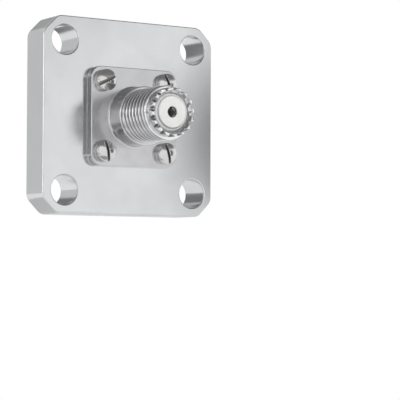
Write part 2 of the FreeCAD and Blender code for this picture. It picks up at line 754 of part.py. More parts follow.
def write_piece(piece, solid_count):
    """Writes one piece to its own file, once its shape is sound."""
    shape = piece.Shape
    if shape.isNull() or not shape.isValid():
        raise RuntimeError(f"{piece.Label} has no sound shape")
    if len(shape.Solids) != solid_count:
        raise RuntimeError(f"{piece.Label} has {len(shape.Solids)} solids")
    shape.exportStep(f"parts/{piece.Label}.step")
    box = shape.BoundBox
    print(
        f"{piece.Label}: volume {shape.Volume:.2f}, "
        f"x {box.XMin:.2f} {box.XMax:.2f}, y {box.YMin:.2f} {box.YMax:.2f}, z {box.ZMin:.2f} {box.ZMax:.2f}"
    )


def main():
    """Builds every piece, checks all of them, then writes the files."""
    fill_sheet()
    pieces = [
        (build_flange_plate(), 1),
        (build_jack_body(), 1),
        (build_jack_insulator(), 1),
        (build_contact_socket(), 1),
        (build_rear_insulator(), 1),
        (build_rear_contact(), 1),
        (build_jack_screws(), 4),
    ]
    doc.recompute()
    check_features()
    os.makedirs("parts", exist_ok=True)
    for piece, solid_count in pieces:
        write_piece(piece, solid_count)


main()
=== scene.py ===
import math
from contextlib import contextmanager
from functools import partial
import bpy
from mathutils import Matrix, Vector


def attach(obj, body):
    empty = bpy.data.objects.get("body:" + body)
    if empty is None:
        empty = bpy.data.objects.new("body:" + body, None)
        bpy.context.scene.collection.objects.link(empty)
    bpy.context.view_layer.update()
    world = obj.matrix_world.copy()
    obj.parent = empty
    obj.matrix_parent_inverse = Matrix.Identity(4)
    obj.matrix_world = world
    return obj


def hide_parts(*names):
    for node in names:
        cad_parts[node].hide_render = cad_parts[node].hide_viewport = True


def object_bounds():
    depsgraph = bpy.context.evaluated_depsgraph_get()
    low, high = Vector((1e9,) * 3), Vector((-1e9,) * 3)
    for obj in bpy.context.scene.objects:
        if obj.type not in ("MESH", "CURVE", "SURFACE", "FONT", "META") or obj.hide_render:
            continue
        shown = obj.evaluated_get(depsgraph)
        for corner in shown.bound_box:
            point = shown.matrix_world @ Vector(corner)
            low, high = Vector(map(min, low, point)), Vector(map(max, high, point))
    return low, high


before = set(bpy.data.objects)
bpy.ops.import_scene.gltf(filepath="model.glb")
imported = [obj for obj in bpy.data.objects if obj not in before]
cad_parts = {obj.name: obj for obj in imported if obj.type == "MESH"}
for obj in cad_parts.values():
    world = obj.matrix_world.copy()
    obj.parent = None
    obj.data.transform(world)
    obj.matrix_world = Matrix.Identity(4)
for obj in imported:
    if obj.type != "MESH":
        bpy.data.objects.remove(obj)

from types import SimpleNamespace

import bmesh
import bpy
from bpy.props import FloatProperty, FloatVectorProperty, IntProperty, PointerProperty
from mathutils import Matrix, Vector

bl_info = {
    "name": "Coaxial Panel Connector",
    "version": (1, 0, 0),
    "blender": (4, 5, 0),
    "location": "View3D > Sidebar > Connector",
    "description": "Builds the finished look of a square-plate coaxial panel connector",
    "category": "Object",
}

MM = 0.001
CAD_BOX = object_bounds()
BODY = "root"
WHITE = (1.0, 1.0, 1.0, 1.0)

OVERCUT = 1.0 * MM  # How far a cutting tool reaches past a face
CLEARANCE = 0.02 * MM  # Play between two fitted pieces, on the radius
TAP_RUN_OUT = 0.7 * MM  # Tapped hole behind the end of its screw
SCREW_HOLE_RADIUS = 1.2 * MM  # Holes in the jack's flange
BARREL_OVERLAP = 0.3 * MM  # How far the flange reaches into the barrel
SHELL_OVERLAP = 0.5 * MM  # How far the barrel reaches into the flange and the nose
COLLAR_EDGE = 0.18 * MM  # Rounding of the collar's front edge
SHANK_BEVEL = 0.25 * MM  # Bevel at a screw's end
SMALL_EDGE = 0.06 * MM  # Rounding on the screws and the socket
PIN_EDGE = 0.08 * MM  # Rounding on the rear pin
TOOTH_EDGE = 0.04 * MM  # Rounding on the teeth
FLAT_WITHIN = 0.05  # Degrees by which faces may differ and still be one flat

# Steps round a full turn
BARREL_STEPS = 288
ROUND_STEPS = 128
HOLE_STEPS = 96
SCREW_STEPS = 72
SOCKET_STEPS = 64
SMALL_HOLE_STEPS = 48

# Kinds of nodes that come up often
MATHS = "ShaderNodeMath"
RANGE = "ShaderNodeMapRange"
MIX = "ShaderNodeMix"
NOISE = "ShaderNodeTexNoise"


def linear(hex_colour):
    """Turns an sRGB hex colour such as #D9DADB into linear red, green, blue and alpha."""
    channels = [int(hex_colour[start:start + 2], 16) / 255 for start in (1, 3, 5)]
    straight = [c / 12.92 if c <= 0.04045 else ((c + 0.055) / 1.055) ** 2.4 for c in channels]
    return (*straight, 1.0)


# Sizes and colours that a user may change

def length(name, millimetres, description):
    """A length property with its default given in millimetres."""
    return FloatProperty(
        name=name, description=description, default=millimetres * MM,
        min=0.0, precision=5, unit="LENGTH", subtype="DISTANCE",
    )


def turn(name, degrees, description):
    """An angle property with its default given in degrees."""
    return FloatProperty(
        name=name, description=description, default=math.radians(degrees),
        unit="ROTATION", subtype="ANGLE",
    )


def colour(name, hex_colour, description):
    """A colour property with its default given as sRGB hex."""
    return FloatVectorProperty(
        name=name, description=description, default=linear(hex_colour),
        size=4, min=0.0, max=1.0, subtype="COLOR",
    )


class ConnectorPlateSizes(bpy.types.PropertyGroup):
    """Sizes of the square mounting plate and its rear pilot."""

    side: length("Side", 34.6, "Square side of the plate")
    thickness: length("Thickness", 6.35, "Front face to rear face")
    corner_cut: length("Corner Cut", 2.8, "Leg of the slanting cut at each corner")
    vertex_radius: length("Vertex Radius", 2.0, "Rounding where a corner cut meets a side")
    edge_break: length("Edge Break", 0.22, "Small rounding on every sharp edge")
    hole_spacing: length("Hole Spacing", 26.2, "Corner holes, centre to centre")
    hole_diameter: length("Hole Diameter", 5.2, "Corner holes")
    pilot_diameter: length("Pilot Diameter", 16.0, "Turned register behind the plate")
    pilot_length: length("Pilot Length", 4.0, "How far the register stands out")
    pilot_lead: length("Pilot Lead", 0.4, "Lead-in bevel on the pilot's end")
    front_bore: length("Front Bore", 5.6, "Bore behind the jack")
    rear_bore: length("Rear Bore", 10.0, "Counterbore for the rear bead")
    rear_bore_depth: length("Rear Bore Depth", 6.0, "From the pilot's end to the step")


class ConnectorJackSizes(bpy.types.PropertyGroup):
    """Sizes of the flanged jack, its thread and its toothed nose."""

    flange_side: length("Flange Side", 17.45, "Square side of the jack's flange")
    flange_thickness: length("Flange Thickness", 1.6, "Thickness of the flange")
    flange_radius: length("Flange Corner Radius", 2.0, "Rounding of the flange's corners")
    flange_break: length("Flange Edge Break", 0.12, "Small rounding of the flange's edges")
    collar_diameter: length("Collar Diameter", 10.4, "Plain collar behind the thread")
    collar_length: length("Collar Length", 3.8, "Collar in front of the flange")
    collar_fillet: length("Collar Fillet", 0.3, "Fillet between the flange and the collar")
    thread_diameter: length("Thread Diameter", 9.525, "Major diameter of the thread")
    thread_length: length("Thread Length", 7.4, "Collar to rim")
    thread_pitch: length("Thread Pitch", 25.4 / 24, "Crest to crest, 24 turns an inch")
    thread_depth: length("Thread Depth", 0.5, "Crest to root")
    thread_lead: length("Thread Lead", 0.3, "Bevel at the rim")
    nose_diameter: length("Nose Diameter", 8.5, "Outside of the toothed nose")
    nose_length: length("Nose Length", 1.85, "Rim to the tips")
    crown_inner: length("Crown Inner Diameter", 7.6, "Inside of the teeth")
    crown_wall: length("Crown Wall", 0.2, "Straight wall inside the tips")
    bevel_depth: length("Bevel Depth", 0.6, "Inner bevel along the axis")
    tooth_land: length("Tooth Land", 0.4, "Width of a tip on the outside")
    notch_root: length("Notch Root", 0.3, "Width at the bottom of a notch")
    notch_depth: length("Notch Depth", 1.2, "Depth of a notch on the outside")
    notch_slope: turn("Notch Slope", 56.3, "Fall of a notch's bottom towards the outside")
    notch_turn: turn("Notch Turn", 5.0, "How far the first notch lies from the top, clockwise")
    teeth: IntProperty(name="Teeth", description="Teeth round the nose", default=16, min=3)


class ConnectorBeadSizes(bpy.types.PropertyGroup):
    """Sizes of the two insulating beads."""

    diameter: length("Diameter", 6.4, "White bead in the nose")
    face_diameter: length("Face Diameter", 5.4, "Raised face in the bead's middle")
    face_rise: length("Face Rise", 0.4, "Height of the raised face")
    drop: length("Drop", 0.4, "Bead's face behind the tips")
    shoulder_diameter: length("Shoulder Diameter", 7.4, "Shoulder against the plate")
    shoulder_length: length("Shoulder Length", 1.0, "Length of the shoulder")
    entry_diameter: length("Entry Diameter", 1.9, "Entry hole in the face")
    entry_length: length("Entry Length", 0.5, "Lip in front of the socket")
    cavity_diameter: length("Cavity Diameter", 2.4, "Room round the socket")
    rear_length: length("Rear Bead Length", 3.0, "Thickness of the rear bead")
    edge: length("Edge", 0.14, "Rounding of the beads' edges")


class ConnectorContactSizes(bpy.types.PropertyGroup):
    """Sizes of the front socket and of the rear pin."""

    socket_diameter: length("Socket Diameter", 2.3, "Outside of the socket")
    socket_length: length("Socket Length", 10.5, "Lip to the end of the thick part")
    socket_bore: length("Socket Bore", 1.3, "Bore that grips the mating pin")
    socket_bore_depth: length("Socket Bore Depth", 5.5, "Depth of that bore")
    socket_slot_width: length("Socket Slot Width", 0.3, "Slot between two fingers")
    socket_slot_length: length("Socket Slot Length", 4.2, "Length of the slots")
    tail_diameter: length("Tail Diameter", 1.6, "Tail in the rear contact")
    tail_end: length("Tail End", 2.4, "Tail's end in front of the plate's rear face")
    seat_diameter: length("Seat Diameter", 3.6, "Rear contact in its bead and round the tail")
    pin_diameter: length("Pin Diameter", 3.0, "Rear contact behind its bead")
    pin_reach: length("Pin Reach", 5.0, "How far the pin stands behind the pilot")
    pin_tip_bevel: length("Pin Tip Bevel", 0.5, "Bevel at the pin's end")
    pin_slot_width: length("Pin Slot Width", 0.3, "Slot between two fingers")
    pin_slot_length: length("Pin Slot Length", 3.5, "Length of the slots")
    pin_slot_turn: turn("Pin Slot Turn", 45.0, "How far the slots are turned from upright")
    stop_diameter: length("Stop Diameter", 4.6, "Stop collar in front of the bead")
    stop_length: length("Stop Length", 0.8, "Length of the stop collar")
    cup_length: length("Cup Length", 2.0, "Stop collar to the cup's mouth")
    cup_diameter: length("Cup Diameter", 1.7, "Hole for the tail")
    cup_depth: length("Cup Depth", 2.5, "Depth of that hole")


class ConnectorScrewSizes(bpy.types.PropertyGroup):
    """Sizes of the four flange screws and the turn at which each was left."""

    spacing: length("Spacing", 12.4, "Centre to centre, both ways")
    head_diameter: length("Head Diameter", 3.8, "Screw head")
    head_side: length("Head Side", 1.1, "Straight side of the head")
    head_dome: length("Head Dome", 0.45, "Rise of the dome")
    slot_width: length("Slot Width", 0.45, "Driver slot")
    slot_depth: length("Slot Depth", 0.7, "From the top of the dome")
    shank_diameter: length("Shank Diameter", 2.18, "Screw shank")
    shank_length: length("Shank Length", 5.2, "Under the head to the end")
    turn_top_left: turn("Turn Top Left", 28.0, "Slot angle seen from the front")
    turn_top_right: turn("Turn Top Right", 112.0, "Slot angle seen from the front")
    turn_bottom_left: turn("Turn Bottom Left", 101.0, "Slot angle seen from the front")
    turn_bottom_right: turn("Turn Bottom Right", 106.0, "Slot angle seen from the front")


class ConnectorFinish(bpy.types.PropertyGroup):
    """Colours of the finishes and of the stage."""

    plate_silver: colour("Plate Silver", "#DEE0E1", "Lapped plating of the plate")
    plate_haze: colour("Plate Haze", "#D8DADB", "Faint handling haze on the plate")
    nickel: colour("Nickel", "#D5D5D7", "Bright nickel of the jack")
    nickel_shade: colour("Nickel Shade", "#D0D0D2", "Haze on the nickel and scuffs on the screws")
    # Painted shade: a darker tone for the bottom of the thread and of the notches
    nickel_painted_shade: colour("Nickel Recess", "#747476", "Thin plating in the grooves and notches")
    # Partly rubbed plating, partly a painted highlight on the rim, the crests and the tips
    nickel_rubbed_highlight: colour("Nickel Rubbed", "#F1F1F2", "Rim and tips rubbed bright")
    screw_steel: colour("Screw Steel", "#D9D9D8", "Polished steel of the screws")
    # Painted shade for the bottom of the driver slots
    slot_painted_shade: colour("Slot Grey", "#8C8C8C", "Dull, scuffed driver slots")
    contact_silver: colour("Contact Silver", "#CCCBC7", "Silver plating of the contacts")
    contact_tarnish: colour("Contact Tarnish", "#A9A6A0", "Tarnish on the contacts")
    # Painted shade for the socket's face, deep in the entry hole
    contact_mouth_shade: colour("Contact Mouth", "#8E908F", "Worn, dull face of the socket")
    bead_white: colour("Bead White", "#EDEDEB", "White fluoropolymer")
    bead_shade: colour("Bead Shade", "#E3E4E2", "Slightly greyer rings left by the tool")
    # Painted shade for the corner round the foot of the raised face
    bead_painted_shade: colour("Bead Dust", "#B2B4B3", "Fine metal dust round the raised face")
    floor_white: colour("Floor White", "#F4F4F3", "Plain pale floor")


# Meshes

def new_object(name, mesh):
    """An object in the scene that shows this mesh, at the origin."""
    piece = bpy.data.objects.new(name, mesh)
    bpy.context.scene.collection.objects.link(piece)
    return piece


@contextmanager
def opened(mesh):
    """Opens a mesh for work with bmesh and writes it back."""
    shape = bmesh.new()
    shape.from_mesh(mesh)
    yield shape
    shape.to_mesh(mesh)
    shape.free()


def mesh_piece(name, points, faces):
    """A piece from points and faces, with its faces turned outwards."""
    mesh = bpy.data.meshes.new(name)
    mesh.from_pydata(points, [], faces)
    with opened(mesh) as shape:
        bmesh.ops.remove_doubles(shape, verts=shape.verts, dist=1e-7)
        bmesh.ops.recalc_face_normals(shape, faces=shape.faces)
    return new_object(name, mesh)


def settle(piece):
    """Turns a piece and its modifiers into one plain mesh."""
    bpy.context.view_layer.update()
    evaluated = piece.evaluated_get(bpy.context.evaluated_depsgraph_get())
    mesh = bpy.data.meshes.new_from_object(evaluated)
    mesh.name = piece.name
    piece.modifiers.clear()
    piece.data = mesh
    return piece


def oblong(wide, tall):
    """The corners of an upright oblong round the axis, anticlockwise from the upper right."""
    return [Vector((x * wide / 2, z * tall / 2)) for x, z in ((1, 1), (-1, 1), (-1, -1), (1, -1))]


def rounded(corners, radius, steps=8):
    """A closed outline with each corner replaced by a tangent arc."""
    outline = []
    for index, corner in enumerate(corners):
        to_last = (corners[index - 1] - corner).normalized()
        to_next = (corners[(index + 1) % len(corners)] - corner).normalized()
        half_angle = to_last.angle(to_next) / 2
        centre = corner + (to_last + to_next).normalized() * radius / math.sin(half_angle)
        start = corner + to_last * radius / math.tan(half_angle) - centre
        end = corner + to_next * radius / math.tan(half_angle) - centre
        for step in range(steps + 1):
            outline.append(centre + start.lerp(end, step / steps).normalized() * radius)
    return outline


def arc(centre, radius, first, last, steps):
    """Profile points (radius, y) on an arc, where 0 degrees is outwards and 90 towards the nose."""
    angles = [math.radians(first + (last - first) * step / steps) for step in range(steps + 1)]
    return [(centre[0] + radius * math.cos(a), centre[1] - radius * math.sin(a)) for a in angles]


def prism(name, outline, front, rear):
    """A flat-faced block: an outline in X and Z, drawn from y = front to y = rear."""
    count = len(outline)
    points = [(point.x, y, point.y) for y in (front, rear) for point in outline]
    faces = [tuple(range(count)), tuple(range(count, 2 * count))]
    for index in range(count):
        following = (index + 1) % count
        faces.append((index, following, count + following, count + index))
    return mesh_piece(name, points, faces)


def turned(name, profile, steps, centre=(0.0, 0.0)):
    """A turned form: a loop of (radius, y) carried round an axis along Y."""
    points = []
    rings = []
    for radius, y in profile:
        if radius < 1e-9:
            rings.append([len(points)] * steps)
            points.append((centre[0], y, centre[1]))
            continue
        rings.append(list(range(len(points), len(points) + steps)))
        for step in range(steps):
            angle = 2 * math.pi * step / steps
            across, up = radius * math.cos(angle), radius * math.sin(angle)
            points.append((centre[0] + across, y, centre[1] + up))
    faces = []
    for index, ring in enumerate(rings):
        following = rings[(index + 1) % len(rings)]
        for step in range(steps):
            after = (step + 1) % steps
            corners = (ring[step], ring[after], following[after], following[step])
            face = tuple(dict.fromkeys(corners))
            if len(face) > 2:
                faces.append(face)
    return mesh_piece(name, points, faces)


def combine(piece, tool, operation):
    """Cuts a piece with a tool piece, or joins the two into one solid."""
    change = piece.modifiers.new("combine", "BOOLEAN")
    change.operation = operation
    change.solver = "EXACT"
    change.object = tool
    settle(piece)
    bpy.data.objects.remove(tool)


def drill(piece, radius, front, rear, steps, centre=(0.0, 0.0)):
    """Cuts a round hole along Y from front to rear."""
    profile = [(0.0, front), (radius, front), (radius, rear), (0.0, rear)]
    combine(piece, turned("drill", profile, steps, centre), "DIFFERENCE")


def mill_slot(piece, wide, tall, front, rear, turned_by=0.0):
    """Cuts an oblong slot round the axis from front to rear, turned by an angle."""
    spin = Matrix.Rotation(turned_by, 2)
    outline = [spin @ corner for corner in oblong(wide, tall)]
    combine(piece, prism("cutter", outline, front, rear), "DIFFERENCE")


def soften(piece, width, segments=3, angle=30.0):
    """Merges slivers into the flat faces, rounds the sharp edges and keeps the flat faces flat."""
    with opened(piece.data) as shape:
        bmesh.ops.dissolve_limit(
            shape, angle_limit=math.radians(FLAT_WITHIN), verts=shape.verts, edges=shape.edges,
        )
    piece.data.shade_smooth()
    edges = piece.modifiers.new("soft_edges", "BEVEL")
    edges.width = width
    edges.segments = segments
    edges.limit_method = "ANGLE"
    edges.angle_limit = math.radians(angle)
    edges.use_clamp_overlap = False
    edges.miter_outer = "MITER_ARC"
    edges.loop_slide = False
    edges.face_strength_mode = "FSTR_ALL"
    flats = piece.modifiers.new("flat_faces", "WEIGHTED_NORMAL")
    flats.keep_sharp = True
    flats.use_face_influence = True
    return settle(piece)


def stand_for(piece, node, material):
    """Gives a finished piece its finish, its body and the CAD node it stands for."""
    piece.data.materials.clear()
    piece.data.materials.append(material)
    for face in piece.data.polygons:
        face.material_index = 0
    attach(piece, BODY)
    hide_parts(node)


# Node trees

def add_node(tree, kind, inputs=(), **settings):
    """Adds a node with its settings and links.

    The inputs come in order or by name. Each is a value, a socket, or a node, which gives its
    first output.
    """
    node = tree.nodes.new(kind)
    for name, value in settings.items():
        setattr(node, name, value)
    sockets = [socket for socket in node.inputs if socket.enabled]
    pairs = inputs.items() if isinstance(inputs, dict) else enumerate(inputs)
    for key, value in pairs:
        target = node.inputs[key] if isinstance(key, str) else sockets[key]
        if isinstance(value, bpy.types.Node):
            value = next(socket for socket in value.outputs if socket.enabled)
        if isinstance(value, bpy.types.NodeSocket):
            tree.links.new(value, target)
        else:
            target.default_value = value
    return node


def round_axis(add, place):
    """Splits a place into its level along the jack's axis and its distance from that axis."""
    across, level, up = add("ShaderNodeSeparateXYZ", (place,)).outputs
    flat = add("ShaderNodeCombineXYZ", (across, up))
    return level, add("ShaderNodeVectorMath", (flat,), operation="LENGTH")


def new_geometry_tree(name, **sockets):
    """A geometry tree with named inputs, a function that adds nodes to it, and what it is given."""
    tree = bpy.data.node_groups.new(name, "GeometryNodeTree")
    sockets = {"Geometry": "Geometry", **sockets}
    for label, kind in sockets.items():
        tree.interface.new_socket(label, in_out="INPUT", socket_type="NodeSocket" + kind)
    tree.interface.new_socket("Geometry", in_out="OUTPUT", socket_type="NodeSocketGeometry")
    add = partial(add_node, tree)
    return tree, add, add("NodeGroupInput").outputs


def run_geometry_tree(piece, tree, **values):
    """Runs a geometry tree on a piece with named values and keeps its result as a mesh."""
    change = piece.modifiers.new(tree.name, "NODES")
    change.node_group = tree
    given = [item for item in tree.interface.items_tree if item.in_out == "INPUT"]
    identifiers = {item.name: item.identifier for item in given}
    for name, value in values.items():
        change[identifiers[name]] = value
    settle(piece)
    bpy.data.node_groups.remove(tree)


def finish_tree(add, geometry, material, merged=True):
    """Ends a geometry tree: made real, merged where sectors meet, and given its material."""
    real = add("GeometryNodeRealizeInstances", (geometry,))
    if merged:
        real = add("GeometryNodeMergeByDistance", {"Geometry": real, "Distance": 1e-6})
    dressed = add("GeometryNodeSetMaterial", {"Geometry": real, "Material": material})
    add("NodeGroupOutput", {"Geometry": dressed})


def ring_tree():
    """Repeats one sector evenly round the Y axis, starting at a given turn."""
    tree, add, given = new_geometry_tree(
        "ring_of_sectors", Count="Int", Start="Float", Finish="Material",
    )
    spots = add("GeometryNodePoints", {"Count": given["Count"]})
    step = add(MATHS, (2 * math.pi, given["Count"]), operation="DIVIDE")
    number = add("GeometryNodeInputIndex")
    angle = add(MATHS, (number, step, given["Start"]), operation="MULTIPLY_ADD")
    rotation = add("ShaderNodeCombineXYZ", {"Y": angle})
    copies = add("GeometryNodeInstanceOnPoints", {
        "Points": spots, "Instance": given["Geometry"], "Rotation": rotation,
    })
    finish_tree(add, copies, given["Finish"])
    return tree


def thread_tree():
    """Cuts a right-hand thread into a plain sleeve round the Y axis: its points move inwards."""
    tree, add, given = new_geometry_tree(
        "right_hand_thread", Radius="Float", Pitch="Float", Depth="Float",
        Start="Float", End="Float", Fade="Float", Finish="Material",
    )
    place = add("GeometryNodeInputPosition")
    across, level, up = add("ShaderNodeSeparateXYZ", (place,)).outputs
    # A right-hand thread advances along +Y while it turns from Z to X
    angle = add(MATHS, (across, up), operation="ARCTAN2")
    turns = add(MATHS, (angle, 2 * math.pi), operation="DIVIDE")
    pitches = add(MATHS, (level, given["Pitch"]), operation="DIVIDE")
    phase = add(MATHS, (pitches, turns), operation="SUBTRACT")
    # 0 at the middle of a crest, 0.5 at the middle of a root. An eighth of the pitch is crest and
    # a quarter is root, with soft changes between
    fold = add(MATHS, (phase, 0.5), operation="PINGPONG")
    flank = add(RANGE, (fold, 0.0625, 0.375), interpolation_type="SMOOTHSTEP")
    groove = add(MATHS, (flank, given["Depth"]), operation="MULTIPLY")
    # The thread fades out towards both ends
    for before, after in ((given["Start"], level), (level, given["End"])):
        inside = add(MATHS, (before, after), operation="SUBTRACT")
        fade = add(RANGE, (inside, 0.0, given["Fade"]), interpolation_type="SMOOTHSTEP")
        groove = add(MATHS, (groove, fade), operation="MULTIPLY")
    cut_radius = add(MATHS, (given["Radius"], groove), operation="SUBTRACT")
    radius = round_axis(add, place)[1]
    least = add(MATHS, (radius, cut_radius), operation="MINIMUM")
    share = add(MATHS, (least, radius), operation="DIVIDE")
    inwards = add("ShaderNodeCombineXYZ", (share, 1.0, share))
    moved = add("ShaderNodeVectorMath", (place, inwards), operation="MULTIPLY")
    on_sleeve = add(MATHS, (level, given["Start"]), operation="LESS_THAN")
    cut = add("GeometryNodeSetPosition", (given["Geometry"], on_sleeve, moved))
    finish_tree(add, cut, given["Finish"])
    return tree


def screw_tree(prototype):
    """Sets a copy of one screw on each point, turned by the point's own angle."""
    tree, add, given = new_geometry_tree("screws_on_points", Finish="Material")
    screw = add("GeometryNodeObjectInfo", {"Object": prototype}).outputs["Geometry"]
    turns = add("GeometryNodeInputNamedAttribute", {"Name": "turn"}, data_type="FLOAT")
    rotation = add("ShaderNodeCombineXYZ", {"Y": turns})
    copies = add("GeometryNodeInstanceOnPoints", {
        "Points": given["Geometry"], "Instance": screw, "Rotation": rotation,
    })
    finish_tree(add, copies, given["Finish"], merged=False)
    return tree


# Finishes

def per_mm(millimetres):
    """Texture scale for features of this size, on coordinates in metres."""
    return 1.0 / (millimetres * MM)


def new_material(name, coordinates="Object"):
    """A material without nodes, a function that adds nodes to it, and its coordinates."""
    material = bpy.data.materials.new(name)
    material.use_nodes = True
    material.node_tree.nodes.clear()
    add = partial(add_node, material.node_tree)
    return material, add, add("ShaderNodeTexCoord").outputs[coordinates]


def turning_rings(add, place, millimetres):
    """Rings left by a turning tool, as a height that changes along the axis and the radius."""
    run = add(MATHS, round_axis(add, place), operation="ADD")
    line = add("ShaderNodeCombineXYZ", (run,))
    return add(NOISE, (line, per_mm(millimetres), 2.0, 0.6))


def finish_metal(add, tone, sheen, relief, strength, height=0.01):
    """Ends a metal finish: colour, roughness, and a relief with its height in millimetres."""
    bump = add("ShaderNodeBump", {"Height": relief, "Strength": strength, "Distance": height * MM})
    metal = add("ShaderNodeBsdfPrincipled", {
        "Base Color": tone, "Metallic": 1.0, "Roughness": sheen, "Normal": bump,
    })
    add("ShaderNodeOutputMaterial", {"Surface": metal})


def lapped_silver(finish):
    """Silver plating on a lapped brass plate: satin, with hair-fine marks and a faint haze."""
    material, add, place = new_material("lapped_silver_plating")
    haze = add(NOISE, (place, per_mm(9.0), 3.0, 0.55))
    # Lapping marks are 0.02 mm wide; drawn 0.12 mm wide so that they show
    level_lines = add("ShaderNodeMapping", {"Vector": place, "Scale": (0.08, 0.08, 1.0)})
    marks = add(NOISE, (level_lines, per_mm(0.12), 2.0))
    specks = add(NOISE, (place, per_mm(0.25), 2.0))
    hazy = add(RANGE, (haze, 0.35, 0.7))
    tone = add(MIX, (hazy, finish.plate_silver, finish.plate_haze), data_type="RGBA")
    even = add(RANGE, (haze, 0.3, 0.7, 0.13, 0.19))
    sheen = add(MATHS, (marks, 0.05, even), operation="MULTIPLY_ADD")
    relief = add(MATHS, (marks, specks), operation="ADD")
    finish_metal(add, tone, sheen, relief, 0.05, 0.02)
    return material


def recess_share(add, place, jack, places):
    """How deep a point lies in the thread or in a notch of the nose, from 0 on the edge to 1."""
    level, radius = round_axis(add, place)
    ahead = add(MATHS, (level, places.collar), operation="LESS_THAN")
    behind = add(MATHS, (level, places.rim), operation="GREATER_THAN")
    on_thread = add(MATHS, (ahead, behind), operation="MULTIPLY")
    crest = jack.thread_diameter / 2
    groove = add(RANGE, (radius, crest - 0.1 * MM, crest - 0.36 * MM))
    # The uncut nose is flat at the tips and falls inwards along its bevel
    bevel_start = jack.crown_inner / 2 + places.tip + jack.crown_wall
    bevel = add(MATHS, (bevel_start, radius), operation="SUBTRACT")
    uncut = add(MATHS, (bevel, places.tip), operation="MAXIMUM")
    below = add(MATHS, (level, uncut), operation="SUBTRACT")
    notch = add(RANGE, (below, 0.05 * MM, 0.5 * MM))
    inside = add(MATHS, (radius, jack.nose_diameter / 2 - 0.02 * MM), operation="LESS_THAN")
    on_nose = add(MATHS, (level, places.rim), operation="LESS_THAN")
    in_nose = add(MATHS, (on_nose, inside), operation="MULTIPLY")
    in_notch = add(MATHS, (in_nose, notch), operation="MULTIPLY")
    return add(MATHS, (on_thread, groove, in_notch), operation="MULTIPLY_ADD", use_clamp=True)


def rubbed_highlight_share(add, place, jack, places):
    """1 on the rim's edge, the crests and the tips, where plugs rub the plating bright; the bright
    tone there is also a painted highlight.
    """
    level, radius = round_axis(add, place)
    tips = add(RANGE, (level, places.tip + 0.03 * MM, places.tip + 0.08 * MM, 1.0, 0.0))
    behind_rim = add(MATHS, (level, places.rim + 0.12 * MM), operation="SUBTRACT")
    from_rim = add(MATHS, (behind_rim,), operation="ABSOLUTE")
    near_rim = add(RANGE, (from_rim, 0.14 * MM, 0.2 * MM, 1.0, 0.0))
    outside = add(MATHS, (radius, jack.nose_diameter / 2 + 0.01 * MM), operation="GREATER_THAN")
    crest = jack.thread_diameter / 2
    on_crest = add(RANGE, (radius, crest - 0.06 * MM, crest - 0.02 * MM, 0.0, 0.8))
    ahead = add(MATHS, (level, places.collar - 0.05 * MM), operation="LESS_THAN")
    threaded = add(MATHS, (on_crest, ahead), operation="MULTIPLY")
    others = add(MATHS, (tips, threaded), operation="ADD")
    return add(MATHS, (near_rim, outside, others), operation="MULTIPLY_ADD", use_clamp=True)


def bright_nickel(finish, jack, places):
    """Bright nickel plating: satin on the milled flange, mirror-like with rings on the barrel."""
    material, add, place = new_material("bright_nickel_plating")
    rings = turning_rings(add, place, 0.15)
    haze = add(NOISE, (place, per_mm(2.5), 3.0))
    hazy = add(RANGE, (haze, 0.35, 0.7))
    plain = add(MIX, (hazy, finish.nickel, finish.nickel_shade), data_type="RGBA")
    # Painted shade darkens the bottom of the thread and of the notches, where the finish is also
    # rougher
    recess = recess_share(add, place, jack, places)
    with_painted_shade = add(MIX, (recess, plain, finish.nickel_painted_shade), data_type="RGBA")
    # Painted highlight on the rim's edge, the crests and the tips, on top of the rubbed plating
    rub_and_highlight = rubbed_highlight_share(add, place, jack, places)
    tone = add(MIX, (rub_and_highlight, with_painted_shade, finish.nickel_rubbed_highlight), data_type="RGBA")
    polish = add(RANGE, (haze, 0.3, 0.7, 0.08, 0.11))
    turned_sheen = add(MATHS, (rings, 0.05, polish), operation="MULTIPLY_ADD")
    level = round_axis(add, place)[0]
    beyond = add(MATHS, (level, places.flange), operation="SUBTRACT")
    off_flange = add(MATHS, (beyond,), operation="ABSOLUTE")
    on_flange = add(RANGE, (off_flange, 0.02 * MM, 0.06 * MM, 1.0, 0.0))
    milled = add(MATHS, (on_flange, 0.13, turned_sheen), operation="MULTIPLY_ADD")
    sheen = add(MATHS, (recess, 0.15, milled), operation="MULTIPLY_ADD")
    finish_metal(add, tone, sheen, rings, 0.12)
    return material


def slot_share(add, place, sizes, seat):
    """How deep a point lies in a screw's driver slot, from 0 at its edges to 1 at its bottom."""
    across, level, up = add("ShaderNodeSeparateXYZ", (place,)).outputs
    # Distance from the axis of the nearest screw, the same in all four quarters
    arms = []
    for part in (across, up):
        size = add(MATHS, (part,), operation="ABSOLUTE")
        arms.append(add(MATHS, (size, sizes.spacing / 2), operation="SUBTRACT"))
    radius = add("ShaderNodeVectorMath", (add("ShaderNodeCombineXYZ", arms),), operation="LENGTH")
    head_radius = sizes.head_diameter / 2
    inside = add(MATHS, (radius, head_radius - 0.04 * MM), operation="LESS_THAN")
    square = add(MATHS, (radius, radius), operation="MULTIPLY")
    top = seat - sizes.head_side - sizes.head_dome
    dome = add(MATHS, (square, sizes.head_dome / head_radius ** 2, top), operation="MULTIPLY_ADD")
    depth = add(MATHS, (level, dome), operation="SUBTRACT")
    return add(MATHS, (inside, add(RANGE, (depth, 0.08 * MM, 0.3 * MM))), operation="MULTIPLY")


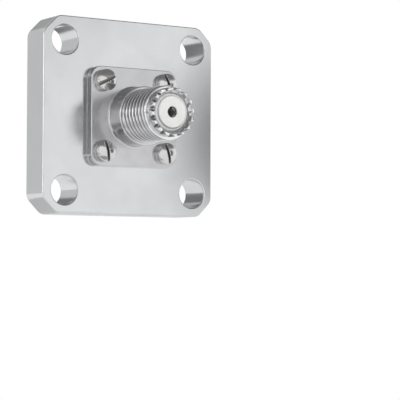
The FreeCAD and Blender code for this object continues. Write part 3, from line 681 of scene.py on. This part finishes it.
def polished_steel(finish, sizes, seat):
    """Polished stainless steel screws: bright, with small driver scuffs, rougher slots and painted
    shade in the slots.
    """
    material, add, place = new_material("polished_stainless_steel")
    scuffs = add(NOISE, (place, per_mm(0.4), 4.0, 0.6))
    upright = add("ShaderNodeMapping", {"Vector": place, "Scale": (1.0, 1.0, 0.15)})
    grain = add(NOISE, (upright, per_mm(0.08), 2.0))
    scuffed = add(RANGE, (scuffs, 0.4, 0.7, 0.0, 0.6))
    plain = add(MIX, (scuffed, finish.screw_steel, finish.nickel_shade), data_type="RGBA")
    slot = slot_share(add, place, sizes, seat)
    # Painted shade deepens towards the bottom of each driver slot
    tone = add(MIX, (slot, plain, finish.slot_painted_shade), data_type="RGBA")
    polish = add(RANGE, (scuffs, 0.3, 0.7, 0.08, 0.18))
    sheen = add(MATHS, (slot, 0.25, polish), operation="MULTIPLY_ADD")
    finish_metal(add, tone, sheen, grain, 0.08)
    return material


def plated_contact(finish, sizes, mouth):
    """Silver plating on spring brass contacts: satin, with a thin grey tarnish in patches."""
    material, add, place = new_material("silver_plated_contact")
    level, radius = round_axis(add, place)
    patches = add(NOISE, (place, per_mm(0.9), 4.0, 0.6))
    tarnish = add(RANGE, (patches, 0.45, 0.8, 0.0, 0.8))
    plain = add(MIX, (tarnish, finish.contact_silver, finish.contact_tarnish), data_type="RGBA")
    # Painted shade on the socket's face, which lies deep in the entry hole
    socket_face_shade = add(RANGE, (level, mouth + 0.02 * MM, mouth + 0.15 * MM, 1.0, 0.0))
    tone = add(MIX, (socket_face_shade, plain, finish.contact_mouth_shade), data_type="RGBA")
    # The drilled bore is left rough
    bored = add(MATHS, (radius, sizes.socket_bore / 2 + 0.03 * MM), operation="LESS_THAN")
    satin = add(RANGE, (patches, 0.3, 0.8, 0.14, 0.26))
    sheen = add(MATHS, (bored, 0.4, satin), operation="MULTIPLY_ADD")
    finish_metal(add, tone, sheen, turning_rings(add, place, 0.1), 0.08)
    return material


def white_fluoropolymer(finish, bead, places):
    """Machined white fluoropolymer: waxy, slightly translucent, with faint tool rings."""
    material, add, place = new_material("machined_white_fluoropolymer")
    level, radius = round_axis(add, place)
    rings = turning_rings(add, place, 0.12)
    clouds = add(NOISE, (place, per_mm(1.6), 2.0))
    both = add(MATHS, (rings, clouds), operation="MULTIPLY")
    ringed = add(RANGE, (both, 0.15, 0.4))
    clean = add(MIX, (ringed, finish.bead_white, finish.bead_shade), data_type="RGBA")
    # Painted shade in the corner round the foot of the raised face
    sunk = add(RANGE, (level, places.face + 0.1 * MM, places.face + 0.35 * MM))
    ahead = add(MATHS, (level, places.face + 0.6 * MM), operation="LESS_THAN")
    on_step = add(MATHS, (sunk, ahead), operation="MULTIPLY")
    foot = bead.face_diameter / 2
    corner = add(RANGE, (radius, foot + 0.08 * MM, foot + 0.3 * MM, 1.0, 0.1))
    painted_shade_share = add(MATHS, (on_step, corner), operation="MULTIPLY")
    wax = add("ShaderNodeBsdfPrincipled", {
        "Base Color": add(MIX, (painted_shade_share, clean, finish.bead_painted_shade), data_type="RGBA"),
        "Roughness": add(RANGE, (rings, 0.3, 0.7, 0.36, 0.48)),
        "Normal": add("ShaderNodeBump", {"Height": rings, "Strength": 0.15, "Distance": 0.01 * MM}),
        "IOR": 1.35, "Subsurface Weight": 0.25, "Subsurface Radius": (1.0, 1.0, 1.0),
        "Subsurface Scale": 0.3 * MM,
    })
    add("ShaderNodeOutputMaterial", {"Surface": wax})
    return material


def pale_floor(finish):
    """Plain pale studio floor: matte paper, white far off, clear when seen from below."""
    material, add, place = new_material("pale_studio_floor")
    fibres = add(NOISE, (place, per_mm(1.5), 2.0))
    sheen = add(RANGE, (fibres, 0.3, 0.7, 0.85, 0.95))
    paper = add("ShaderNodeBsdfPrincipled", {
        "Base Color": finish.floor_white, "Roughness": sheen, "Specular IOR Level": 0.2,
    })
    # Metal shows the floor paler than the eye does, with the object's shadow still on it
    path = add("ShaderNodeLightPath").outputs
    mirrored = add(MATHS, (path["Is Glossy Ray"], path["Is Transmission Ray"]), operation="MAXIMUM")
    paler = add(MATHS, (mirrored, 0.6), operation="MULTIPLY")
    # Far from the object, in metres, it runs into the white background without a horizon
    away = add("ShaderNodeVectorMath", (place,), operation="LENGTH")
    seen = add(MATHS, (mirrored, path["Is Camera Ray"]), operation="MAXIMUM")
    far = add(MATHS, (seen, add(RANGE, (away, 0.15, 0.9))), operation="MULTIPLY")
    share = add(MATHS, (paler, far), operation="MAXIMUM")
    shown = add("ShaderNodeMixShader", (share, paper, add("ShaderNodeEmission", (WHITE, 1.0))))
    below = add("ShaderNodeNewGeometry").outputs["Backfacing"]
    either = add("ShaderNodeMixShader", (below, shown, add("ShaderNodeBsdfTransparent")))
    add("ShaderNodeOutputMaterial", {"Surface": either})
    return material


def scrim_cloth(name, brightness, soft_edge):
    """Grey scrim that darkens a reflection: even in the middle, fading to nothing at its edge."""
    material, add, chart = new_material(name, "UV")
    arm = add("ShaderNodeVectorMath", (chart, (0.5, 0.5, 0.0)), operation="SUBTRACT")
    reach = add("ShaderNodeVectorMath", (arm,), operation="LENGTH")
    fading = (reach, 0.5 * (1 - soft_edge), 0.5, 1.0, 0.0)
    share = add(RANGE, fading, interpolation_type="SMOOTHSTEP")
    glow = add("ShaderNodeEmission", ((brightness, brightness, brightness, 1.0),))
    either = add("ShaderNodeMixShader", (share, add("ShaderNodeBsdfTransparent"), glow))
    add("ShaderNodeOutputMaterial", {"Surface": either})
    return material


# Mounting plate

class CONNECTOR_OT_plate(bpy.types.Operator):
    """Builds the mounting plate with its corner holes, rear pilot and stepped bore"""

    bl_idname = "connector.plate"
    bl_label = "Mounting Plate"

    def execute(self, context):
        sizes = context.scene.connector_plate
        jack, screws = context.scene.connector_jack, context.scene.connector_screws
        half = sizes.side / 2
        near = half - sizes.corner_cut
        corners = [Vector(spot) for spot in (
            (near, half), (-near, half), (-half, near), (-half, -near),
            (-near, -half), (near, -half), (half, -near), (half, near),
        )]
        outline = rounded(corners, sizes.vertex_radius)
        plate = prism("mounting_plate", outline, -sizes.thickness, 0.0)
        pilot_radius, pilot_end = sizes.pilot_diameter / 2, sizes.pilot_length
        pilot = turned("pilot", [
            (0.0, -OVERCUT),
            (pilot_radius, -OVERCUT),
            (pilot_radius, pilot_end - sizes.pilot_lead),
            (pilot_radius - sizes.pilot_lead, pilot_end),
            (0.0, pilot_end),
        ], ROUND_STEPS)
        combine(plate, pilot, "UNION")
        front = -sizes.thickness - OVERCUT
        step = pilot_end - sizes.rear_bore_depth
        bore = turned("bore", [
            (0.0, front),
            (sizes.front_bore / 2, front),
            (sizes.front_bore / 2, step),
            (sizes.rear_bore / 2, step),
            (sizes.rear_bore / 2, pilot_end + OVERCUT),
            (0.0, pilot_end + OVERCUT),
        ], ROUND_STEPS)
        combine(plate, bore, "DIFFERENCE")
        tap_radius = screws.shank_diameter / 2 + CLEARANCE
        tap_end = screws.shank_length - sizes.thickness - jack.flange_thickness + TAP_RUN_OUT
        hole_spots = oblong(sizes.hole_spacing, sizes.hole_spacing)
        for hole, tap in zip(hole_spots, oblong(screws.spacing, screws.spacing)):
            drill(plate, sizes.hole_diameter / 2, front, OVERCUT, HOLE_STEPS, hole)
            drill(plate, tap_radius, front, tap_end, SMALL_HOLE_STEPS, tap)
        soften(plate, sizes.edge_break)
        finish = lapped_silver(context.scene.connector_finish)
        stand_for(plate, "flange_plate", finish)
        return {"FINISHED"}


# Jack body

def jack_places(scene):
    """Places along Y of the jack's steps, from the plate's front face forward."""
    plate, jack, bead = scene.connector_plate, scene.connector_jack, scene.connector_bead
    seat = -plate.thickness
    flange = seat - jack.flange_thickness
    collar = flange - jack.collar_length
    rim = collar - jack.thread_length
    tip = rim - jack.nose_length
    face = tip + bead.drop
    socket = face + bead.entry_length
    return SimpleNamespace(
        seat=seat, flange=flange, collar=collar, rim=rim, tip=tip, face=face, socket=socket,
    )


def build_flange(jack, screws, places):
    """The square flange with its four screw holes and the opening that the barrel fills."""
    outline = rounded(oblong(jack.flange_side, jack.flange_side), jack.flange_radius, steps=12)
    flange = prism("flange", outline, places.flange, places.seat)
    front, rear = places.flange - OVERCUT, places.seat + OVERCUT
    opening = jack.collar_diameter / 2 - BARREL_OVERLAP
    drill(flange, opening, front, rear, SMALL_HOLE_STEPS)
    for spot in oblong(screws.spacing, screws.spacing):
        drill(flange, SCREW_HOLE_RADIUS, front, rear, SMALL_HOLE_STEPS, spot)
    return soften(flange, jack.flange_break)


def build_barrel(jack, bead, places, finish):
    """Collar, threaded sleeve and rim as one closed shell round the bead."""
    fillet, lead = jack.collar_fillet, jack.thread_lead
    collar_radius = jack.collar_diameter / 2
    thread_radius = jack.thread_diameter / 2
    bore_radius = bead.diameter / 2 + CLEARANCE
    nose_root = jack.nose_diameter / 2 - SHELL_OVERLAP
    back = places.flange + SHELL_OVERLAP
    sunk_rim = places.rim + SHELL_OVERLAP
    lead_start = places.rim + lead
    # From the fillet at the collar's root over its front edge to the root of the thread
    profile = [(bore_radius, back), (collar_radius + fillet, back)]
    profile += arc((collar_radius + fillet, places.flange - fillet), fillet, -90, -180, 6)
    edge_centre = (collar_radius - COLLAR_EDGE, places.collar + COLLAR_EDGE)
    profile += arc(edge_centre, COLLAR_EDGE, 0, 90, 4)
    # The sleeve has 16 rings to each turn of the thread
    rings = int(16 * jack.thread_length / jack.thread_pitch)
    for ring in range(rings):
        profile.append((thread_radius, places.collar + (lead_start - places.collar) * ring / rings))
    profile += arc((thread_radius - lead, lead_start), lead, 0, 90, 6)
    profile += [(nose_root, places.rim), (nose_root, sunk_rim), (bore_radius, sunk_rim)]
    barrel = turned("barrel", profile, BARREL_STEPS)
    run_geometry_tree(
        barrel, thread_tree(), Radius=thread_radius,
        Pitch=jack.thread_pitch, Depth=jack.thread_depth,
        Start=places.collar, End=places.rim + 0.05 * MM, Fade=0.35 * MM, Finish=finish,
    )
    barrel.data.shade_smooth()
    barrel.data.set_sharp_from_angle(angle=math.radians(50.0))
    return barrel


def build_crown(jack, bead, places, finish):
    """The toothed nose: one sector with a notch in its middle, repeated round the axis."""
    outer = jack.nose_diameter / 2
    inner = jack.crown_inner / 2
    bore_radius = bead.diameter / 2 + CLEARANCE
    # The sector is open at its sides and reaches a little into the barrel
    base = places.rim + 0.4 * MM
    half_pitch = math.pi / jack.teeth
    slope = math.tan(jack.notch_slope)
    opening = 2 * half_pitch * outer - jack.tooth_land
    widening = (opening - jack.notch_root) / 2 / jack.notch_depth

    def row(radius, fall=0.0, level=None):
        """Points across the sector at one radius, where the uncut metal falls behind the tips."""
        depth = max(fall, jack.notch_depth - (outer - radius) * slope)
        reach = jack.notch_root / 2 + (depth - fall) * widening
        root = math.asin(jack.notch_root / 2 / radius)
        edge = math.asin(reach / radius)
        halfway = (half_pitch + edge) / 2
        angles = [-half_pitch, -halfway, -edge, -root, root, edge, halfway, half_pitch]
        falls = [fall, fall, fall, depth, depth, fall, fall, fall]
        tops = [places.tip + drop if level is None else level for drop in falls]
        return [(radius * math.sin(a), y, radius * math.cos(a)) for a, y in zip(angles, tops)]

    # The notch's bottom runs out in the inner bevel at this radius
    bevel_slope = jack.bevel_depth / (inner - bore_radius)
    at_axis = jack.crown_wall + inner * bevel_slope + outer * slope - jack.notch_depth
    run_out = at_axis / (slope + bevel_slope)
    run_out_fall = jack.crown_wall + (inner - run_out) * bevel_slope
    rows = [row(outer, level=base), row(outer, level=places.rim - 0.3 * MM)]
    rows += [row(outer + (inner - outer) * step / 3) for step in range(4)]
    rows += [row(inner, jack.crown_wall), row(run_out, run_out_fall)]
    rows += [row(bore_radius, jack.crown_wall + jack.bevel_depth), row(bore_radius, level=base)]
    width = len(rows[0])
    faces = []
    for line in range(len(rows)):
        here, there = line * width, (line + 1) % len(rows) * width
        for column in range(width - 1):
            faces.append((here + column, here + column + 1, there + column + 1, there + column))
    mesh = bpy.data.meshes.new("crown")
    mesh.from_pydata([point for line in rows for point in line], [], faces)
    crown = new_object("crown", mesh)
    run_geometry_tree(crown, ring_tree(), Count=jack.teeth, Start=jack.notch_turn, Finish=finish)
    with opened(crown.data) as shape:
        bmesh.ops.remove_doubles(shape, verts=shape.verts, dist=2e-6)
        bmesh.ops.dissolve_degenerate(shape, edges=shape.edges, dist=2e-6)
        bmesh.ops.recalc_face_normals(shape, faces=shape.faces)
    return soften(crown, TOOTH_EDGE, segments=2, angle=28.0)


class CONNECTOR_OT_jack(bpy.types.Operator):
    """Builds the jack: square flange, plain collar, threaded barrel and toothed nose"""

    bl_idname = "connector.jack"
    bl_label = "Threaded Jack"

    def execute(self, context):
        scene = context.scene
        jack, bead, screws = scene.connector_jack, scene.connector_bead, scene.connector_screws
        places = jack_places(scene)
        finish = bright_nickel(scene.connector_finish, jack, places)
        shells = [
            build_flange(jack, screws, places),
            build_barrel(jack, bead, places, finish),
            build_crown(jack, bead, places, finish),
        ]
        body = shells[0]
        with context.temp_override(active_object=body, selected_editable_objects=shells):
            bpy.ops.object.join()
        body.name = body.data.name = "threaded_jack"
        stand_for(body, "jack_body", finish)
        return {"FINISHED"}


# Beads

class CONNECTOR_OT_beads(bpy.types.Operator):
    """Builds the white bead in the nose and the bead in the rear pilot"""

    bl_idname = "connector.beads"
    bl_label = "Insulating Beads"

    def execute(self, context):
        scene = context.scene
        plate, bead, contact = scene.connector_plate, scene.connector_bead, scene.connector_contact
        places = jack_places(scene)
        finish = white_fluoropolymer(scene.connector_finish, bead, places)
        face_foot = places.face + bead.face_rise
        shoulder = places.seat - bead.shoulder_length
        front = turned("front_bead", [
            (bead.entry_diameter / 2, places.face),
            (bead.face_diameter / 2, places.face),
            (bead.face_diameter / 2, face_foot),
            (bead.diameter / 2, face_foot),
            (bead.diameter / 2, shoulder),
            (bead.shoulder_diameter / 2, shoulder),
            (bead.shoulder_diameter / 2, places.seat),
            (bead.cavity_diameter / 2, places.seat),
            (bead.cavity_diameter / 2, places.socket),
            (bead.entry_diameter / 2, places.socket),
        ], ROUND_STEPS)
        soften(front, bead.edge)
        stand_for(front, "jack_insulator", finish)
        step = plate.pilot_length - plate.rear_bore_depth
        end = step + bead.rear_length
        hole_radius = contact.seat_diameter / 2 + CLEARANCE
        outer_radius = plate.rear_bore / 2 - CLEARANCE
        rear = turned("rear_bead", [
            (hole_radius, step), (outer_radius, step), (outer_radius, end), (hole_radius, end),
        ], ROUND_STEPS)
        soften(rear, bead.edge)
        stand_for(rear, "rear_insulator", finish)
        return {"FINISHED"}


# Contacts

def cut_fingers(piece, width, across, start, end, turned_by=0.0):
    """Two slots at right angles along Y, from start to end, turned round the axis."""
    mill_slot(piece, width, across, start, end, turned_by)
    mill_slot(piece, across, width, start, end, turned_by)


class CONNECTOR_OT_contacts(bpy.types.Operator):
    """Builds the slotted socket in the nose and the slotted pin behind the plate"""

    bl_idname = "connector.contacts"
    bl_label = "Contacts"

    def execute(self, context):
        scene = context.scene
        plate, sizes = scene.connector_plate, scene.connector_contact
        front = jack_places(scene).socket
        finish = plated_contact(scene.connector_finish, sizes, front)
        thick_end = front + sizes.socket_length
        bore_end = front + sizes.socket_bore_depth
        socket = turned("socket_contact", [
            (0.0, -sizes.tail_end), (sizes.tail_diameter / 2, -sizes.tail_end),
            (sizes.tail_diameter / 2, thick_end), (sizes.socket_diameter / 2, thick_end),
            (sizes.socket_diameter / 2, front), (sizes.socket_bore / 2, front),
            (sizes.socket_bore / 2, bore_end), (0.0, bore_end),
        ], SOCKET_STEPS)
        slot_end = front + sizes.socket_slot_length
        wider = sizes.socket_diameter + OVERCUT
        cut_fingers(socket, sizes.socket_slot_width, wider, front - OVERCUT, slot_end)
        soften(socket, SMALL_EDGE, segments=2)
        stand_for(socket, "contact_socket", finish)

        step = plate.pilot_length - plate.rear_bore_depth
        bead_end = step + scene.connector_bead.rear_length
        stop = step - sizes.stop_length
        mouth = stop - sizes.cup_length
        cup_end = mouth + sizes.cup_depth
        end = plate.pilot_length + sizes.pin_reach
        radius, bevel = sizes.pin_diameter / 2, sizes.pin_tip_bevel
        seat_radius, stop_radius = sizes.seat_diameter / 2, sizes.stop_diameter / 2
        pin = turned("rear_pin", [
            (0.0, cup_end), (sizes.cup_diameter / 2, cup_end), (sizes.cup_diameter / 2, mouth),
            (seat_radius, mouth), (seat_radius, stop), (stop_radius, stop), (stop_radius, step),
            (seat_radius, step), (seat_radius, bead_end), (radius, bead_end),
            (radius, end - bevel), (radius - bevel, end), (0.0, end),
        ], HOLE_STEPS)
        slot_start = end - sizes.pin_slot_length
        wider = sizes.pin_diameter + OVERCUT
        cut_fingers(
            pin, sizes.pin_slot_width, wider, slot_start, end + OVERCUT, sizes.pin_slot_turn,
        )
        soften(pin, PIN_EDGE, segments=2)
        stand_for(pin, "rear_contact", finish)
        return {"FINISHED"}


# Screws

def build_screw(sizes):
    """One slotted screw with a domed head, its seat at the origin and its head towards -Y."""
    radius, shank_radius = sizes.head_diameter / 2, sizes.shank_diameter / 2
    dome_radius = (radius ** 2 + sizes.head_dome ** 2) / (2 * sizes.head_dome)
    top = -(sizes.head_side + sizes.head_dome)
    edge = math.degrees(math.acos(radius / dome_radius))
    profile = [
        (0.0, sizes.shank_length), (shank_radius - SHANK_BEVEL, sizes.shank_length),
        (shank_radius, sizes.shank_length - SHANK_BEVEL), (shank_radius, 0.0), (radius, 0.0),
    ]
    profile += arc((0.0, top + dome_radius), dome_radius, edge, 90, 8)
    screw = turned("screw", profile, SCREW_STEPS)
    longer = sizes.head_diameter + 2 * OVERCUT
    mill_slot(screw, longer, sizes.slot_width, top - OVERCUT, top + sizes.slot_depth)
    return soften(screw, SMALL_EDGE, segments=2)


class CONNECTOR_OT_screws(bpy.types.Operator):
    """Sets the four slotted screws on the jack's flange, each at its own turn"""

    bl_idname = "connector.screws"
    bl_label = "Flange Screws"

    def execute(self, context):
        sizes = context.scene.connector_screws
        seat = jack_places(context.scene).flange
        spots = oblong(sizes.spacing, sizes.spacing)
        angles = (
            sizes.turn_top_right, sizes.turn_top_left,
            sizes.turn_bottom_left, sizes.turn_bottom_right,
        )
        mesh = bpy.data.meshes.new("flange_screws")
        mesh.from_pydata([(spot.x, seat, spot.y) for spot in spots], [], [])
        turns = mesh.attributes.new("turn", "FLOAT", "POINT")
        for record, angle in zip(turns.data, angles):
            record.value = -angle
        screws = new_object("flange_screws", mesh)
        prototype = build_screw(sizes)
        finish = polished_steel(context.scene.connector_finish, sizes, seat)
        run_geometry_tree(screws, screw_tree(prototype), Finish=finish)
        bpy.data.objects.remove(prototype)
        stand_for(screws, "jack_screws", finish)
        return {"FINISHED"}


# Stage

def around(yaw, rise, distance):
    """A place round the jack, its yaw from the front towards +X and its rise in degrees."""
    turned_by, lifted_by = math.radians(yaw), math.radians(rise)
    level = math.cos(lifted_by) * distance
    across, along = math.sin(turned_by) * level, -math.cos(turned_by) * level
    return Vector((across, along, math.sin(lifted_by) * distance))


def add_lamp(name, place, wide, tall, power, in_reflections=True):
    """A soft area lamp aimed at the middle of the object."""
    lamp = bpy.data.lights.new(name, "AREA")
    lamp.shape = "RECTANGLE"
    lamp.size = wide
    lamp.size_y = tall
    lamp.energy = power
    holder = bpy.data.objects.new(name, lamp)
    holder.location = place
    holder.rotation_euler = (-place).to_track_quat("-Z", "Y").to_euler()
    holder.visible_glossy = in_reflections
    bpy.context.scene.collection.objects.link(holder)


def add_scrim(name, place, wide, tall, brightness, soft_edge=0.5, lying=False):
    """A grey scrim that faces the object, or lies face up, and shows only in reflections."""
    facing = Matrix.Identity(3) if lying else (-place).to_track_quat("Z", "Y").to_matrix()
    points = [place + facing @ corner.to_3d() for corner in oblong(wide, tall)]
    mesh = bpy.data.meshes.new(name)
    mesh.from_pydata(points, [], [(0, 1, 2, 3)])
    chart = mesh.uv_layers.new(name="UVMap")
    for record, corner in zip(chart.data, oblong(1.0, 1.0)):
        record.uv = corner + Vector((0.5, 0.5))
    mesh.materials.append(scrim_cloth(name + "_cloth", brightness, soft_edge))
    scrim = new_object(name, mesh)
    scrim.visible_camera = False
    scrim.visible_diffuse = False
    scrim.visible_shadow = False


def build_floor(finish):
    """A floor of 6 by 6 metres at the level of the plate's lower edge."""
    mesh = bpy.data.meshes.new("studio_floor")
    under_plate = Matrix.Translation((0.0, 0.0, CAD_BOX[0][2]))
    with opened(mesh) as shape:
        bmesh.ops.create_grid(shape, x_segments=24, y_segments=24, size=3.0, matrix=under_plate)
    mesh.materials.append(pale_floor(finish))
    floor = new_object("studio_floor", mesh)


def light_world():
    """White to the eye and in reflections; softer grey where it lights the object."""
    world = bpy.data.worlds.new("studio_world")
    bpy.context.scene.world = world
    world.use_nodes = True
    world.node_tree.nodes.clear()
    add = partial(add_node, world.node_tree)
    path = add("ShaderNodeLightPath").outputs
    direct = add(MATHS, (path["Is Camera Ray"], path["Is Glossy Ray"]), operation="MAXIMUM")
    seen = add(MATHS, (direct, path["Is Transmission Ray"]), operation="MAXIMUM")
    soft = add("ShaderNodeBackground", {"Color": WHITE, "Strength": 0.6})
    white = add("ShaderNodeBackground", {"Color": WHITE, "Strength": 1.0})
    add("ShaderNodeOutputWorld", {"Surface": add("ShaderNodeMixShader", (seen, soft, white))})


def place_camera():
    """The camera as it stood for the photograph: a little below the plate, to its left."""
    image_width, focal_length = 400.0, 1646.83  # pixels
    yaw, pitch, roll = math.radians(33.065), math.radians(2.365), math.radians(0.188)
    place = Vector((-148.749, -257.702, -26.571)) * MM
    level = Vector((math.cos(yaw), -math.sin(yaw), 0.0))
    ahead = Vector((math.sin(yaw), math.cos(yaw), 0.0))
    forward = ahead * math.cos(pitch) + Vector((0.0, 0.0, math.sin(pitch)))
    upright = level.cross(forward)
    right = level * math.cos(roll) + upright * math.sin(roll)
    up = upright * math.cos(roll) - level * math.sin(roll)
    lens = bpy.data.cameras.new("studio_camera")
    lens.sensor_fit = "HORIZONTAL"
    lens.sensor_width = 36.0
    lens.lens = focal_length * lens.sensor_width / image_width
    lens.clip_start = 0.01
    lens.clip_end = 20.0
    camera = bpy.data.objects.new("studio_camera", lens)
    facing = Matrix((right, up, -forward)).transposed()
    camera.matrix_world = Matrix.Translation(place) @ facing.to_4x4()
    bpy.context.scene.collection.objects.link(camera)
    bpy.context.scene.camera = camera


class CONNECTOR_OT_stage(bpy.types.Operator):
    """Sets up the pale floor, the soft studio light and the camera"""

    bl_idname = "connector.stage"
    bl_label = "Studio Stage"

    def execute(self, context):
        context.scene.view_settings.view_transform = "Standard"
        light_world()
        build_floor(context.scene.connector_finish)
        # Name, place, width and height in metres, power in watts
        add_lamp("key_softbox", around(-20, 40, 0.9), 0.5, 0.4, 3.0, in_reflections=False)
        add_lamp("left_softbox", around(-96, 4, 0.8), 0.34, 0.5, 1.2)
        add_lamp("rear_softbox", around(160, 40, 0.9), 0.5, 0.4, 2.0, in_reflections=False)
        # Name, place, width and height in metres, brightness, share of the reach that fades out
        add_scrim("overhead_scrim", around(8, 62, 0.5), 2.2, 0.95, 0.22, 0.3)
        add_scrim("upper_right_scrim", around(24, 24, 0.5), 0.40, 0.16, 0.28, 0.4)
        add_scrim("corner_scrim", around(25, 12, 0.5), 0.08, 0.07, 0.5, 0.9)
        add_scrim("left_scrim", around(-59, 8, 0.6), 0.26, 0.7, 0.25, 0.4)
        add_scrim("upper_left_scrim", around(-30, 22, 0.5), 0.3, 0.16, 0.45)
        add_scrim("camera_shade", around(-28.5, 6, 0.5), 0.14, 0.12, 0.09, 0.4)
        add_scrim("rear_left_scrim", around(-170, 10, 0.5), 0.95, 0.8, 0.65)
        add_scrim("rear_upper_scrim", around(170, 27, 0.5), 0.24, 0.24, 0.38, 0.5)
        add_scrim("right_flag", Vector((0.088, -0.084, 0.006)), 0.06, 0.06, 0.15)
        add_scrim("rear_flag", Vector((-0.007, 0.045, 0.004)), 0.036, 0.07, 0.2, 0.3)
        # These lie just above the floor
        for name, place, wide, tall, brightness in (
            ("floor_scrim", (-0.034, -0.042, -0.0165), 0.044, 0.036, 0.2),
            ("under_scrim", (-0.006, -0.026, -0.0165), 0.030, 0.018, 0.38),
            ("plate_underlay", (-0.0155, 0.0, -0.0172), 0.012, 0.016, 0.6),
        ):
            add_scrim(name, Vector(place), wide, tall, brightness, 0.4, lying=True)
        place_camera()
        return {"FINISHED"}


# Panel and registration

class CONNECTOR_PT_panel(bpy.types.Panel):
    """Lists the connector's pieces and its sizes"""

    bl_idname = "CONNECTOR_PT_panel"
    bl_label = "Panel Connector"
    bl_space_type = "VIEW_3D"
    bl_region_type = "UI"
    bl_category = "Connector"

    def draw(self, context):
        layout = self.layout
        for operator in OPERATORS:
            layout.operator(operator.bl_idname)
        for name, group in GROUPS.items():
            box = layout.box()
            box.label(text=group.__doc__.rstrip("."))
            settings = getattr(context.scene, name)
            for field in group.__annotations__:
                box.prop(settings, field)


GROUPS = {
    "connector_plate": ConnectorPlateSizes,
    "connector_jack": ConnectorJackSizes,
    "connector_bead": ConnectorBeadSizes,
    "connector_contact": ConnectorContactSizes,
    "connector_screws": ConnectorScrewSizes,
    "connector_finish": ConnectorFinish,
}
OPERATORS = (
    CONNECTOR_OT_plate, CONNECTOR_OT_jack, CONNECTOR_OT_beads,
    CONNECTOR_OT_contacts, CONNECTOR_OT_screws, CONNECTOR_OT_stage,
)
CLASSES = (*GROUPS.values(), *OPERATORS, CONNECTOR_PT_panel)


def register():
    for kind in CLASSES:
        bpy.utils.register_class(kind)
    for name, group in GROUPS.items():
        setattr(bpy.types.Scene, name, PointerProperty(type=group))


def unregister():
    for name in GROUPS:
        delattr(bpy.types.Scene, name)
    for kind in reversed(CLASSES):
        bpy.utils.unregister_class(kind)


def main():
    """Registers the add-on and builds every piece and the stage."""
    register()
    bpy.ops.connector.plate()
    bpy.ops.connector.jack()
    bpy.ops.connector.beads()
    bpy.ops.connector.contacts()
    bpy.ops.connector.screws()
    bpy.ops.connector.stage()


if __name__ == "__main__":
    main()
